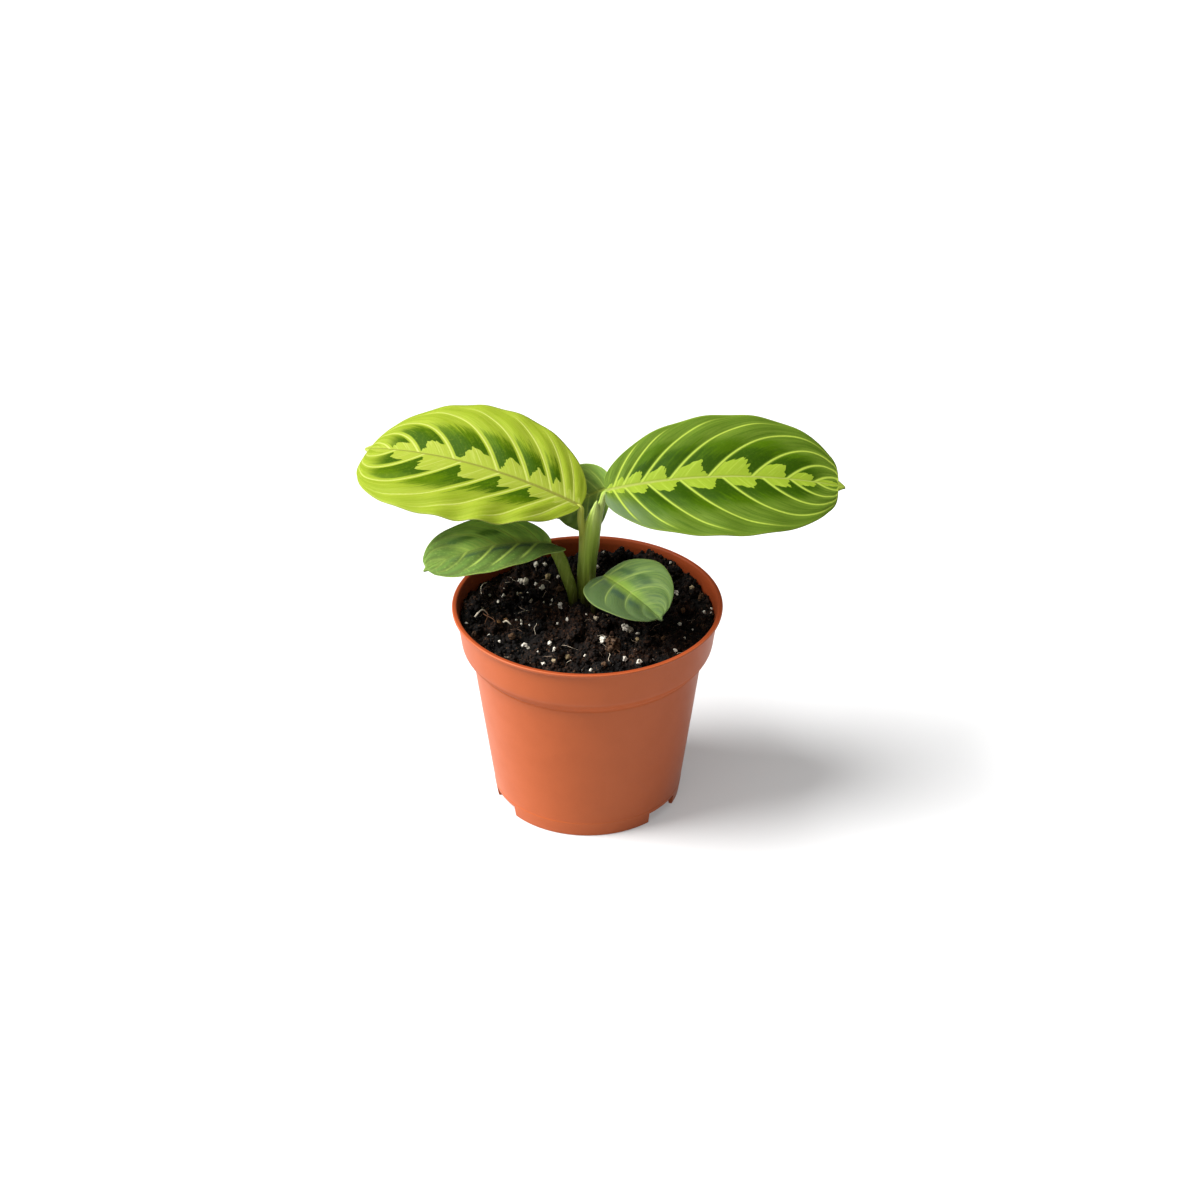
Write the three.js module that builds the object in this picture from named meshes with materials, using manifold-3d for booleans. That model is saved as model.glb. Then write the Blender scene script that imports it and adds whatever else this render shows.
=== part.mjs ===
// A potted prayer plant: a nursery pot, its soil, four sheathed stalks and five quilted leaves.
// Millimetres, +Z up, origin at the middle of the pot's underside, the front towards -Y.
import * as THREE from "three";
import { mergeVertices } from "three/addons/utils/BufferGeometryUtils.js";
import Module from "manifold-3d";

const wasm = await Module();
wasm.setup();

// Pot
const POT_HEIGHT = 87;
const LIP_RADIUS = 54;
const LIP_WIDTH = 1.9;
const LIP_THICKNESS = 1.7;
const LIP_ROUND = 0.6;
const COLLAR_TOP_RADIUS = 52.2;
const COLLAR_BOTTOM_RADIUS = 50.1;
const COLLAR_BOTTOM = 69.4;
const SHOULDER_RADIUS = 46.1;
const SHOULDER_BOTTOM = 65.6;
const FOOT_RADIUS = 37.5;
const WALL = 0.95;
const BASE_TOP = 4.6;
const BASE_RECESS = 3.2;
const FOOT_RING = 2;
const PAD_RADIUS = 18;
const POT_SIDES = 64;

// Notches in the foot, which drain the pot
const NOTCH_CENTRES = [-153, -37, 85];
const NOTCH_ARC = 24;
const NOTCH_HEIGHT = 4.9;
const NOTCH_DEPTH = 4;
const NOTCH_OVERREACH = 3;

// Soil
const SOIL_LEVEL = 79.5;
const SOIL_SIDES = 48;
const SOIL_RINGS = 11;
const SOIL_ROUGHNESS = 1.3;
const MOUND_HEIGHT = 2.2;
const MOUND_RADIUS = 16;
const SOIL_EDGE_DROP = 1.8;
const SOIL_FOOT_INSET = 1.6;
const SOIL_FOOT_BEVEL = 1.2;
const CLODS = 26;
const CLOD_SIZE = [2, 3.4];
const CLOD_FLATNESS = 0.7;
const PERLITE_GRAINS = 42;
const GRAIN_SIZE = [0.8, 1.3];
const GRAIN_FLATNESS = 0.9;
const LUMP_STRETCH = [0.8, 1.25];
const LUMP_TILT = 0.5;
const LUMP_LIFT = 0.25;
const LUMP_MARGIN = 4;
const GAP = 0.3;
const HOLE_GAP = 0.5;

// How far the stalks reach into the soil, and where they leave it
const ROOT_Z = 70;
const CROWN_Z = 86;

// Blades
const BLADE_THICKNESS = 0.7;
const VEIN_SWEEP = 1.6;
const VEIN_BEND = 1.4;
const TIP_LENGTH = 0.03;
const TIP_WIDTH = 0.045;
const MIDRIB_COLUMN = 0.055;
const CELLS_PER_VEIN = 4;
const BASE_ROWS = [0.004, 0.013];
const EAR_START = 0.004;
const EAR_END = 0.09;
const RIB_FADE = 0.8;

const TERRACOTTA = 0xcf6f45;
const PEAT = 0x1d1612;
const STALK_GREEN = 0x8fae4a;
const LIME = 0xa9c436;
const MID_GREEN = 0x5d8f2f;
const GREY_GREEN = 0x6f9a5c;

// Each blade starts at its base point and follows a midrib. Heading is the way it points, seen
// from above, climb its slope and roll its lean, all in degrees and from the base to the tip.
// Left and right are those of someone looking along the midrib: "full" is how soon each half
// widens from the base and narrows to the tip, and "ears" how far its base lobe reaches back.
const LEAVES = {
  leaf_large_right: {
    base: [7.3, 10, 132.4], length: 95, halfWidth: 29,
    heading: [-5, 3], climb: [17, -14], roll: [25, 24], fold: 8, bow: -10,
    full: { left: [0.49, 0.45], right: [0.48, 0.45] }, ears: { left: 1.2, right: 1.2 },
    veins: 8, quilt: 0.75, waves: 5, wave: 0.4, rib: 1.1, columns: 5, colour: MID_GREEN,
  },
  leaf_large_left: {
    base: [-2.5, 8, 126.5], length: 97, halfWidth: 30.4,
    heading: [166, 148], climb: [23, -16], roll: [-23, -15], fold: 7, bow: -11,
    full: { left: [0.66, 0.41], right: [0.47, 0.47] }, ears: { left: 0, right: 0.6 },
    veins: 8, quilt: 0.85, waves: 6, wave: 0.55, rib: 1.1, columns: 5, colour: LIME,
  },
  leaf_small_left: {
    base: [-14.3, 9, 109], length: 53, halfWidth: 16.2,
    heading: [184, 208], climb: [9, -18], roll: [-8, -10], fold: 11, bow: -13,
    full: { left: [0.51, 0.51], right: [0.5, 0.5] }, ears: { left: 4, right: 0 },
    veins: 6, quilt: 0.5, waves: 3, wave: 0.3, rib: 0.8, columns: 4, colour: GREY_GREEN,
  },
  leaf_small_right: {
    base: [6.4, 5.5, 96.2], length: 43, halfWidth: 16.1,
    heading: [-63, -53], climb: [16, -12], roll: [19, 15], fold: 18, bow: -7,
    full: { left: [0.57, 0.51], right: [0.47, 0.51] }, ears: { left: 0, right: 1.5 },
    veins: 6, quilt: 0.45, waves: 2, wave: 0.4, rib: 0.7, columns: 4, colour: GREY_GREEN,
  },
  leaf_back: {
    base: [9.9, 23, 126.9], length: 33, halfWidth: 13.3,
    heading: [147, 158], climb: [-29, -50], roll: [-58, -88], fold: 9, bow: -9,
    full: { left: [0.45, 0.47], right: [0.45, 0.47] }, ears: { left: 0, right: 0 },
    veins: 6, quilt: 0.45, waves: 2, wave: 0.4, rib: 0.7, columns: 4, colour: GREY_GREEN,
  },
};

// Each stalk is a row of stations [x, y, z, half width, half depth]. Its first two stand
// upright in the soil.
const STALKS = {
  sheath_right: [
    [-1.5, 10, ROOT_Z, 2.3, 2.2], [-1.5, 10, CROWN_Z, 2.7, 2.5], [-0.3, 10, 96, 3.2, 2.8],
    [1.5, 10, 108, 3.2, 2.7], [2.7, 10, 116, 2.8, 2.3], [4.6, 10, 123, 1.8, 1.8],
    [6, 10, 128, 1.3, 1.3], [6.9, 10, 131.3, 1.3, 1.3],
  ],
  sheath_left: [
    [-2.3, 9.6, ROOT_Z, 1.8, 2], [-2.3, 9.6, CROWN_Z, 2, 2], [-2, 9.4, 96, 2.2, 1.9],
    [-1.5, 9.2, 108, 1.9, 1.7], [-1.8, 9, 115, 1.7, 1.5], [-2.6, 8.6, 121, 1.4, 1.3],
    [-2.5, 8.2, 125.8, 1.3, 1.3],
  ],
  small_left: [
    [-6, 6.8, ROOT_Z, 1.5, 1.4], [-6, 6.8, CROWN_Z, 1.9, 1.5], [-7, 7.3, 91, 2.3, 1.5],
    [-8.7, 7.9, 96, 2.5, 1.4], [-10.3, 8.4, 101, 2.6, 1.3], [-12.1, 8.8, 104.7, 2.5, 1.1],
    [-14.1, 9.2, 107.7, 1.4, 1],
  ],
  small_right: [
    [2.8, 4.6, ROOT_Z, 1.3, 1.3], [2.8, 4.6, CROWN_Z, 1.3, 1.3], [4.2, 4.8, 91, 1.2, 1.2],
    [5.7, 5.4, 94.8, 1.1, 1.1],
  ],
  back: [
    [0.5, 15.8, ROOT_Z, 1.5, 1.5], [0.5, 15.8, CROWN_Z, 1.5, 1.5], [1, 22, 98, 1.3, 1.3],
    [3.4, 27, 108, 1.2, 1.2], [8, 26.6, 118.5, 1.1, 1.1], [10.7, 24.2, 125.5, 1, 1],
  ],
};
const STALK_SIDES = 12;
const STALK_STEPS = 14;
const LIGULE = { base: [2, 8.9, 118.5], tip: [3.7, 8.4, 128.2], radius: 2.9, flatness: 0.5 };

const radians = THREE.MathUtils.degToRad;
const mix = THREE.MathUtils.lerp;

// A solid from a closed geometry, and a geometry back from a solid.
function solid(geometry) {
  const bare = geometry.clone();
  bare.deleteAttribute("normal");
  bare.deleteAttribute("uv");
  const merged = mergeVertices(bare, 1e-4);
  const corners = merged.index.array;
  const triVerts = [];
  for (let i = 0; i < corners.length; i += 3) {
    const [a, b, c] = corners.slice(i, i + 3);
    if (a !== b && b !== c && c !== a) triVerts.push(a, b, c);
  }
  return new wasm.Manifold(new wasm.Mesh({
    numProp: 3,
    vertProperties: merged.attributes.position.array,
    triVerts: new Uint32Array(triVerts),
  }));
}

function geometryOf(shape) {
  const { vertProperties, triVerts } = shape.getMesh();
  const geometry = new THREE.BufferGeometry();
  geometry.setAttribute("position", new THREE.BufferAttribute(vertProperties, 3));
  geometry.setIndex(new THREE.BufferAttribute(triVerts, 1));
  const faceted = geometry.toNonIndexed();
  faceted.computeVertexNormals();
  return faceted;
}

function piece(name, geometry, colour, roughness) {
  const material = new THREE.MeshStandardMaterial({ color: colour, roughness, metalness: 0 });
  const mesh = new THREE.Mesh(geometry, material);
  mesh.name = name;
  return mesh;
}

function points2(pairs) {
  return pairs.map(([r, z]) => new THREE.Vector2(r, z));
}

// The same draw of numbers from 0 to 1 every time
function seededRandom(seed) {
  let state = seed;
  return () => {
    state = (state * 1664525 + 1013904223) % 4294967296;
    return state / 4294967296;
  };
}

// Radius of the pot's inner wall at a height
function innerRadius(z) {
  if (z >= COLLAR_BOTTOM) {
    const up = (z - COLLAR_BOTTOM) / (POT_HEIGHT - COLLAR_BOTTOM);
    return mix(COLLAR_BOTTOM_RADIUS, COLLAR_TOP_RADIUS, up) - WALL;
  }
  if (z >= SHOULDER_BOTTOM) {
    const up = (z - SHOULDER_BOTTOM) / (COLLAR_BOTTOM - SHOULDER_BOTTOM);
    return mix(SHOULDER_RADIUS, COLLAR_BOTTOM_RADIUS, up) - WALL;
  }
  return mix(FOOT_RADIUS, SHOULDER_RADIUS, z / SHOULDER_BOTTOM) - WALL;
}

// The pot's outline is turned about the axis: underside, outer wall, lip, inner wall, floor.
function potGeometry() {
  const lipUnder = POT_HEIGHT - LIP_THICKNESS;
  const profile = points2([
    [0, 0],
    [PAD_RADIUS, 0],
    [PAD_RADIUS + 0.6, BASE_RECESS],
    [FOOT_RADIUS - FOOT_RING, BASE_RECESS],
    [FOOT_RADIUS - FOOT_RING + 0.5, 0],
    [FOOT_RADIUS - 0.8, 0],
    [FOOT_RADIUS - 0.2, 0.25],
    [FOOT_RADIUS + 0.1, 0.9],
    [SHOULDER_RADIUS - 0.1, SHOULDER_BOTTOM - 0.8],
    [SHOULDER_RADIUS + 0.4, SHOULDER_BOTTOM + 0.2],
    [COLLAR_BOTTOM_RADIUS - 0.6, COLLAR_BOTTOM - 0.8],
    [COLLAR_BOTTOM_RADIUS + 0.05, COLLAR_BOTTOM + 0.4],
    [COLLAR_TOP_RADIUS - 0.1, lipUnder - 0.3],
    [COLLAR_TOP_RADIUS + 0.2, lipUnder],
    [LIP_RADIUS - LIP_ROUND, lipUnder],
    [LIP_RADIUS, lipUnder + LIP_ROUND],
    [LIP_RADIUS, POT_HEIGHT - LIP_ROUND],
    [LIP_RADIUS - LIP_ROUND, POT_HEIGHT],
    [LIP_RADIUS - LIP_WIDTH, POT_HEIGHT],
    [LIP_RADIUS - LIP_WIDTH - 0.6, POT_HEIGHT - 0.4],
    [innerRadius(POT_HEIGHT - 2), POT_HEIGHT - 2],
    [innerRadius(COLLAR_BOTTOM), COLLAR_BOTTOM],
    [innerRadius(SHOULDER_BOTTOM), SHOULDER_BOTTOM],
    [innerRadius(BASE_TOP + 1), BASE_TOP + 1],
    [innerRadius(BASE_TOP) - 1, BASE_TOP],
    [0, BASE_TOP],
  ]);
  let pot = solid(new THREE.LatheGeometry(profile, POT_SIDES).rotateX(Math.PI / 2));
  for (const centre of NOTCH_CENTRES) pot = pot.subtract(notch(centre));
  return geometryOf(pot);
}

// One notch: a sector through the foot's wall and the edge of the floor
function notch(centre) {
  const from = radians(centre - NOTCH_ARC / 2);
  const to = radians(centre + NOTCH_ARC / 2);
  const sector = new THREE.Shape();
  sector.absarc(0, 0, FOOT_RADIUS + NOTCH_OVERREACH, from, to, false);
  sector.absarc(0, 0, FOOT_RADIUS - NOTCH_DEPTH, to, from, true);
  const options = { depth: NOTCH_HEIGHT + 1, bevelEnabled: false, curveSegments: 6 };
  return solid(new THREE.ExtrudeGeometry(sector, options).translate(0, 0, -1));
}

// Height of the soil's rough top
function ground(x, y) {
  const fromCrown = Math.hypot(x, y - 10);
  const mound = MOUND_HEIGHT * Math.exp(-((fromCrown / MOUND_RADIUS) ** 2));
  const broad = Math.sin(0.13 * x + 1.1) * Math.cos(0.11 * y - 0.6);
  const lumps = Math.sin(0.41 * x + 0.23 * y) * Math.cos(0.37 * y - 0.19 * x + 2);
  const fine = Math.sin(0.83 * x - 0.61 * y + 1) * Math.sin(0.71 * x + 0.9 * y);
  return SOIL_LEVEL + mound + SOIL_ROUGHNESS * (0.7 * broad + 0.8 * lumps + 0.5 * fine);
}

// A lump of so many faces, pressed flat and turned, half sunk in the soil's top
function lump(geometry, random, x, y, size, flatness) {
  geometry.scale(size * mix(...LUMP_STRETCH, random()), size, size * flatness);
  geometry.rotateX(mix(-LUMP_TILT, LUMP_TILT, random()));
  geometry.rotateZ(random() * Math.PI * 2);
  geometry.translate(x, y, ground(x, y) + size * flatness * LUMP_LIFT);
  return solid(geometry);
}

// Soil fills the pot up to a rough top, with clods and perlite grown into it, and a plain
// upright hole for each stalk.
function soilGeometry() {
  const floor = BASE_TOP + GAP;
  const wallTop = SOIL_LEVEL - SOIL_EDGE_DROP;
  const profile = [[0, floor], [innerRadius(floor) - SOIL_FOOT_INSET, floor]];
  for (const z of [floor + SOIL_FOOT_BEVEL, SHOULDER_BOTTOM, COLLAR_BOTTOM, wallTop]) {
    profile.push([innerRadius(z) - 2 * GAP, z]);
  }
  const edge = innerRadius(SOIL_LEVEL) - 3 * GAP;
  for (let ring = 0; ring <= SOIL_RINGS; ring++) {
    profile.push([edge * (1 - ring / SOIL_RINGS), SOIL_LEVEL]);
  }
  const turned = new THREE.LatheGeometry(points2(profile), SOIL_SIDES).rotateX(Math.PI / 2);
  const place = turned.attributes.position;
  for (let i = 0; i < place.count; i++) {
    if (place.getZ(i) > wallTop + 1) place.setZ(i, ground(place.getX(i), place.getY(i)));
  }
  let soil = solid(turned);
  const random = seededRandom(7);
  for (let i = 0; i < CLODS + PERLITE_GRAINS; i++) {
    const reach = (edge - LUMP_MARGIN) * Math.sqrt(random());
    const turn = random() * Math.PI * 2;
    const [x, y] = [reach * Math.cos(turn), reach * Math.sin(turn)];
    const isClod = i < CLODS;
    const size = mix(...(isClod ? CLOD_SIZE : GRAIN_SIZE), random());
    const body = isClod ? new THREE.IcosahedronGeometry(1, 0) : new THREE.OctahedronGeometry(1, 0);
    soil = soil.add(lump(body, random, x, y, size, isClod ? CLOD_FLATNESS : GRAIN_FLATNESS));
  }
  for (const stalk of Object.values(STALKS)) soil = soil.subtract(stalkHole(stalk));
  return geometryOf(largestBody(soil));
}

// Drops the crumbs that the holes cut loose
function largestBody(shape) {
  const bodies = shape.decompose();
  return bodies.reduce((best, body) => (body.volume() > best.volume() ? body : best));
}

// The upright hole round the foot of a stalk
function stalkHole([[x, y, , halfWidth, halfDepth], [, , , crownWidth, crownDepth]]) {
  const bottom = ROOT_Z - GAP;
  const tall = CROWN_Z - bottom;
  const hole = new THREE.CylinderGeometry(1, 1, tall, STALK_SIDES).rotateX(Math.PI / 2);
  const wide = Math.max(halfWidth, crownWidth) + HOLE_GAP;
  const deep = Math.max(halfDepth, crownDepth) + HOLE_GAP;
  return solid(hole.scale(wide, deep, 1).translate(x, y, bottom + tall / 2));
}

// A tapering stalk: a cylinder bent along a curve, wide along X and slim along Y
function stalk(stations) {
  const curve = new THREE.CatmullRomCurve3(
    stations.map(([x, y, z]) => new THREE.Vector3(x, y, z)), false, "centripetal");
  const bent = new THREE.CylinderGeometry(1, 1, 1, STALK_SIDES, STALK_STEPS);
  const place = bent.attributes.position;
  for (let i = 0; i < place.count; i++) {
    const along = THREE.MathUtils.clamp(place.getY(i) + 0.5, 0, 1);
    const centre = curve.getPoint(along);
    const tangent = curve.getTangent(along);
    const deep = new THREE.Vector3().crossVectors(tangent, new THREE.Vector3(1, 0, 0)).normalize();
    const wide = new THREE.Vector3().crossVectors(deep, tangent);
    const [halfWidth, halfDepth] = sectionAt(stations, along);
    centre.addScaledVector(wide, place.getX(i) * halfWidth);
    centre.addScaledVector(deep, -place.getZ(i) * halfDepth);
    place.setXYZ(i, centre.x, centre.y, centre.z);
  }
  return solid(bent);
}

function sectionAt(stations, along) {
  const spot = along * (stations.length - 1);
  const before = Math.min(Math.floor(spot), stations.length - 2);
  const ease = spot - before;
  return [3, 4].map((k) => mix(stations[before][k], stations[before + 1][k], ease));
}

// The pale pointed flap where the sheath ends
function ligule() {
  const { base, tip, radius, flatness } = LIGULE;
  const axis = new THREE.Vector3(...tip).sub(new THREE.Vector3(...base));
  const cone = new THREE.ConeGeometry(radius, axis.length(), 8);
  cone.scale(1, 1, flatness);
  cone.translate(0, axis.length() / 2, 0);
  const turn = new THREE.Quaternion().setFromUnitVectors(
    new THREE.Vector3(0, 1, 0), axis.clone().normalize());
  return solid(cone.applyQuaternion(turn).translate(...base));
}

// The midrib as a row of frames: its point, and the ways ahead, to its left side and over it
function midribFrames(leaf, steps) {
  const frames = [];
  const point = new THREE.Vector3(...leaf.base);
  const up = new THREE.Vector3(0, 0, 1);
  let last = null;
  for (let i = 0; i <= steps; i++) {
    const s = i / steps;
    const heading = radians(mix(...leaf.heading, s));
    const climb = radians(mix(...leaf.climb, s));
    const roll = radians(mix(...leaf.roll, s));
    const ahead = new THREE.Vector3(
      Math.cos(climb) * Math.cos(heading), Math.cos(climb) * Math.sin(heading), Math.sin(climb));
    const side = new THREE.Vector3().crossVectors(up, ahead).normalize();
    side.applyAxisAngle(ahead, roll);
    if (last) point.addScaledVector(last.clone().add(ahead), leaf.length / steps / 2);
    const over = new THREE.Vector3().crossVectors(ahead, side);
    frames.push({ point: point.clone(), ahead, side, over });
    last = ahead;
  }
  return frames;
}

// Half width of the blade from base to tip, 1 at its widest, ending in a short drip tip
function outline([baseFullness, tipFullness], s) {
  const body = Math.min(s / (1 - TIP_LENGTH), 1);
  const widest = baseFullness / (baseFullness + tipFullness);
  const peak = widest ** baseFullness * (1 - widest) ** tipFullness;
  const main = (body ** baseFullness * (1 - body) ** tipFullness) / peak;
  const drip = TIP_WIDTH * s * Math.min(1, Math.sqrt((1 - s) / TIP_LENGTH));
  return main + drip;
}

// A point of the blade's middle surface. Its rows follow the side veins: a row starts at
// "start" on the midrib and sweeps forward to the margin; t runs from -1 to 1 across.
function bladePoint(leaf, frames, start, t) {
  const out = Math.abs(t);
  const side = Math.sign(t);
  const end = 1 - (1 - start) ** VEIN_SWEEP;
  const s = mix(start, end, out ** VEIN_BEND);
  const half = side < 0 ? "right" : "left";
  const spot = s * (frames.length - 1);
  const before = Math.min(Math.floor(spot), frames.length - 2);
  const [a, b] = [frames[before], frames[before + 1]];
  const [point, ahead, sideways, over] = ["point", "ahead", "side", "over"].map(
    (key) => a[key].clone().lerp(b[key], spot - before));
  const width = leaf.halfWidth * outline(leaf.full[half], s);
  const fold = radians(leaf.fold);
  const bow = radians(leaf.bow);
  const across = (width * (Math.sin(fold + bow * out) - Math.sin(fold))) / bow;
  const rise = (width * (Math.cos(fold) - Math.cos(fold + bow * out))) / bow;
  const taper = Math.sin(Math.PI * s) ** 0.5;
  const puff = leaf.quilt * Math.sin(Math.PI * leaf.veins * start) ** 2 * Math.sin(Math.PI * out);
  const wave = leaf.wave * out ** 3 * Math.sin(2 * Math.PI * leaf.waves * s + side);
  const lobe = (1 - Math.exp(-s / EAR_START)) * Math.exp(-((s / EAR_END) ** 2));
  point.addScaledVector(ahead, -leaf.ears[half] * out ** 2 * lobe);
  point.addScaledVector(sideways, side * across);
  return point.addScaledVector(over, rise + taper * (puff + wave));
}

// A blade: the same triangles above and below, joined along the rim, with a rib underneath
function bladeGeometry(leaf) {
  const cells = leaf.veins * CELLS_PER_VEIN;
  const starts = [...BASE_ROWS];
  for (let row = 1; row < cells; row++) starts.push(row / cells);
  const frames = midribFrames(leaf, cells * 2);
  const half = [MIDRIB_COLUMN];
  for (let i = 1; i < leaf.columns; i++) half.push(i / (leaf.columns - 1));
  const columns = [...half.map((t) => -t).reverse(), 0, ...half];
  const spots = [frames[0].point.clone()];
  const below = [BLADE_THICKNESS / 2 + leaf.rib];
  for (const start of starts) {
    for (const t of columns) {
      spots.push(bladePoint(leaf, frames, start, t));
      below.push(BLADE_THICKNESS / 2 + (t === 0 ? leaf.rib * (1 - RIB_FADE * start) : 0));
    }
  }
  spots.push(frames.at(-1).point.clone());
  below.push(BLADE_THICKNESS / 2);
  const faces = sheetFaces(starts.length, columns.length, spots.length);
  const sheet = new THREE.BufferGeometry().setFromPoints(spots);
  sheet.setIndex(faces.flat());
  sheet.computeVertexNormals();
  return closedBlade(sheet, faces, below);
}

// Triangles of the sheet: a fan at the base, split cells that mirror at the midrib, a fan
// at the tip
function sheetFaces(rows, wide, count) {
  const faces = [];
  const at = (row, column) => 1 + row * wide + column;
  const middle = (wide - 1) / 2;
  for (let c = 0; c < wide - 1; c++) {
    faces.push([0, at(0, c), at(0, c + 1)].reverse());
    for (let r = 0; r < rows - 1; r++) {
      const [a, b, d, e] = [at(r, c), at(r, c + 1), at(r + 1, c), at(r + 1, c + 1)];
      if (c < middle) faces.push([a, b, d], [b, e, d]);
      else faces.push([a, b, e], [a, e, d]);
    }
    faces.push([at(rows - 1, c), at(rows - 1, c + 1), count - 1]);
  }
  return faces;
}

function closedBlade(sheet, faces, below) {
  const place = sheet.attributes.position;
  const normal = sheet.attributes.normal;
  const count = place.count;
  const corners = new Float32Array(count * 6);
  for (let i = 0; i < count; i++) {
    const point = new THREE.Vector3().fromBufferAttribute(place, i);
    const out = new THREE.Vector3().fromBufferAttribute(normal, i);
    point.clone().addScaledVector(out, BLADE_THICKNESS / 2).toArray(corners, i * 3);
    point.addScaledVector(out, -below[i]).toArray(corners, (count + i) * 3);
  }
  const used = new Set(faces.flatMap(([a, b, c]) => [`${a} ${b}`, `${b} ${c}`, `${c} ${a}`]));
  const index = [];
  for (const [a, b, c] of faces) {
    index.push(a, b, c, c + count, b + count, a + count);
    for (const [from, to] of [[a, b], [b, c], [c, a]]) {
      if (used.has(`${to} ${from}`)) continue;
      index.push(to, from, from + count, to, from + count, to + count);
    }
  }
  const closed = new THREE.BufferGeometry();
  closed.setAttribute("position", new THREE.BufferAttribute(corners, 3));
  closed.setIndex(index);
  return geometryOf(solid(closed));
}

const plant = new THREE.Group();
plant.add(piece("pot", potGeometry(), TERRACOTTA, 0.5));
plant.add(piece("soil", soilGeometry(), PEAT, 0.95));

const mainStem = stalk(STALKS.sheath_right).add(stalk(STALKS.sheath_left)).add(ligule());
plant.add(piece("stem_main", geometryOf(mainStem), STALK_GREEN, 0.5));
for (const key of ["small_left", "small_right", "back"]) {
  plant.add(piece(`stem_${key}`, geometryOf(stalk(STALKS[key])), STALK_GREEN, 0.5));
}
for (const [name, leaf] of Object.entries(LEAVES)) {
  plant.add(piece(name, bladeGeometry(leaf), leaf.colour, 0.45));
}

export default plant;
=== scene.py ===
"""A young prayer plant in a nursery pot, dressed round its packed solids."""
import math

import bmesh
import bpy
import numpy as np
from bpy.props import FloatProperty, FloatVectorProperty, IntProperty, PointerProperty
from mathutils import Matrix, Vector
from mathutils.bvhtree import BVHTree


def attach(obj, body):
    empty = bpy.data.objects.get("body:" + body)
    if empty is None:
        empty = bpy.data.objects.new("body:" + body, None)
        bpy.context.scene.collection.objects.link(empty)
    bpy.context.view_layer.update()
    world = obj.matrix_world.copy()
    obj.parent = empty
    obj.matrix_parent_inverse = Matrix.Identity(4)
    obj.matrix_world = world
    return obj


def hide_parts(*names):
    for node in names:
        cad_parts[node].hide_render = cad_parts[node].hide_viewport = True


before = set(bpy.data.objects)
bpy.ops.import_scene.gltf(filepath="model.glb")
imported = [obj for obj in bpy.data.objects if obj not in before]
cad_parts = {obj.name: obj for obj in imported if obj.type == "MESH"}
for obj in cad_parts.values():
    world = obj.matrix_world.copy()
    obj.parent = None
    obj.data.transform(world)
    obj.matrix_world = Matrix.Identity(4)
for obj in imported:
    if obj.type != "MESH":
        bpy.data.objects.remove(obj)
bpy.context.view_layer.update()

bl_info = {
    "name": "Potted prayer plant",
    "version": (1, 0, 0),
    "blender": (4, 5, 0),
    "location": "3D View > Sidebar > Plant",
    "description": "Builds the leaves, stalks, soil and nursery pot of a young prayer plant",
    "category": "Object",
}

MM = 0.001

# Camera, fitted to the ellipses of the pot
CAMERA_AIM = (5.01, 0, 88.3)
CAMERA_CLIMB = 31.18
CAMERA_DISTANCE = 1200
CAMERA_LENS = 90.5
PIXELS_ACROSS = 1200
PIXELS_PER_SLOPE = 3017

# Where the key light and the top light come from
KEY_SIDE = (-1, -0.08, 1.02)
TOP_SIDE = (-0.1, -0.38, 1)

# Pot: millimetres, and degrees counted from the plant's right towards its back
POT_SIDES = 240
POT_STEP = 2.5
NOTCH_CENTRES = (-153.8, -36.2, 85)
NOTCH_ARC = 25.6
NOTCH_HEIGHT = 4.9
NOTCH_DEPTH = 4
FOOT_STEP = 6.5
INNER_HEIGHTS = (0, 65.6, 69.4, 87)
INNER_RADII = (36.55, 45.15, 49.15, 51.25)

# Soil
SOIL_TOP = 79.5
SOIL_GAP = 0.4
SKIRT_HEIGHTS = (73.5, 69.4, 65.6, 6.1, 4.9)
STALK_MIDDLE_Y = 10
SOIL_GRID = 190
BACK_RIDGE_ANGLE = 50
FRONT_DIP_ANGLE = 240
LEFT_RISE_ANGLE = 182
BACK_RIDGE_HEIGHT = 5
LEFT_RISE_HEIGHT = 3.5
FRONT_DIP_DEPTH = 1.4
GRAIN_SINK = 0.1
BARK_SINK = 0.2
CLOD_SINK = 0.32

# Stalk
STALK_POINTS = 64

# Blade
BLADE_ROWS = {"large": 250, "small": 150}
BLADE_COLUMNS = {"large": 44, "small": 30}
TIP_LENGTH = 0.03
TIP_WIDTH = 0.045
NUB_WIDTH = 0.055
NUB_MIDDLE = 0.965
EAR_START = 0.004
EAR_END = 0.05
VEIN_GROOVE = 0.14
VEIN_RIB = 0.16
MIDRIB_CHANNEL = 0.14
# How side veins sweep forward, as shares of the blade's length
VEIN_REACH = 1.08
VEIN_RUN = 0.28
VEIN_RUN_START = 0.01
VEIN_RUN_GROWTH = 0.18


def shade(code):
    """A colour code as linear red, green and blue."""
    values = [int(code[i:i + 2], 16) / 255 for i in (0, 2, 4)]
    return tuple(v / 12.92 if v <= 0.04045 else ((v + 0.055) / 1.055) ** 2.4 for v in values)


class Field:
    """A node's output that is reckoned with like a number."""

    def __init__(self, graph, socket):
        self.graph = graph
        self.socket = socket

    def __neg__(self):
        return self * -1.0

    def step(self, start, end):
        """Eases from 0 to 1 while the field goes from start to end."""
        node = self.graph.node("ShaderNodeMapRange", interpolation_type="SMOOTHSTEP")
        for socket, value in zip(node.inputs[:5], (self, start, end, 0.0, 1.0)):
            self.graph.feed(socket, value)
        return Field(self.graph, node.outputs[0])


def reckoning(operation, backwards=False):
    """A method of a field that adds one math node."""
    def method(self, *other):
        terms = (*other, self) if backwards else (self, *other)
        return self.graph.math(operation, *terms)
    return method


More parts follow.
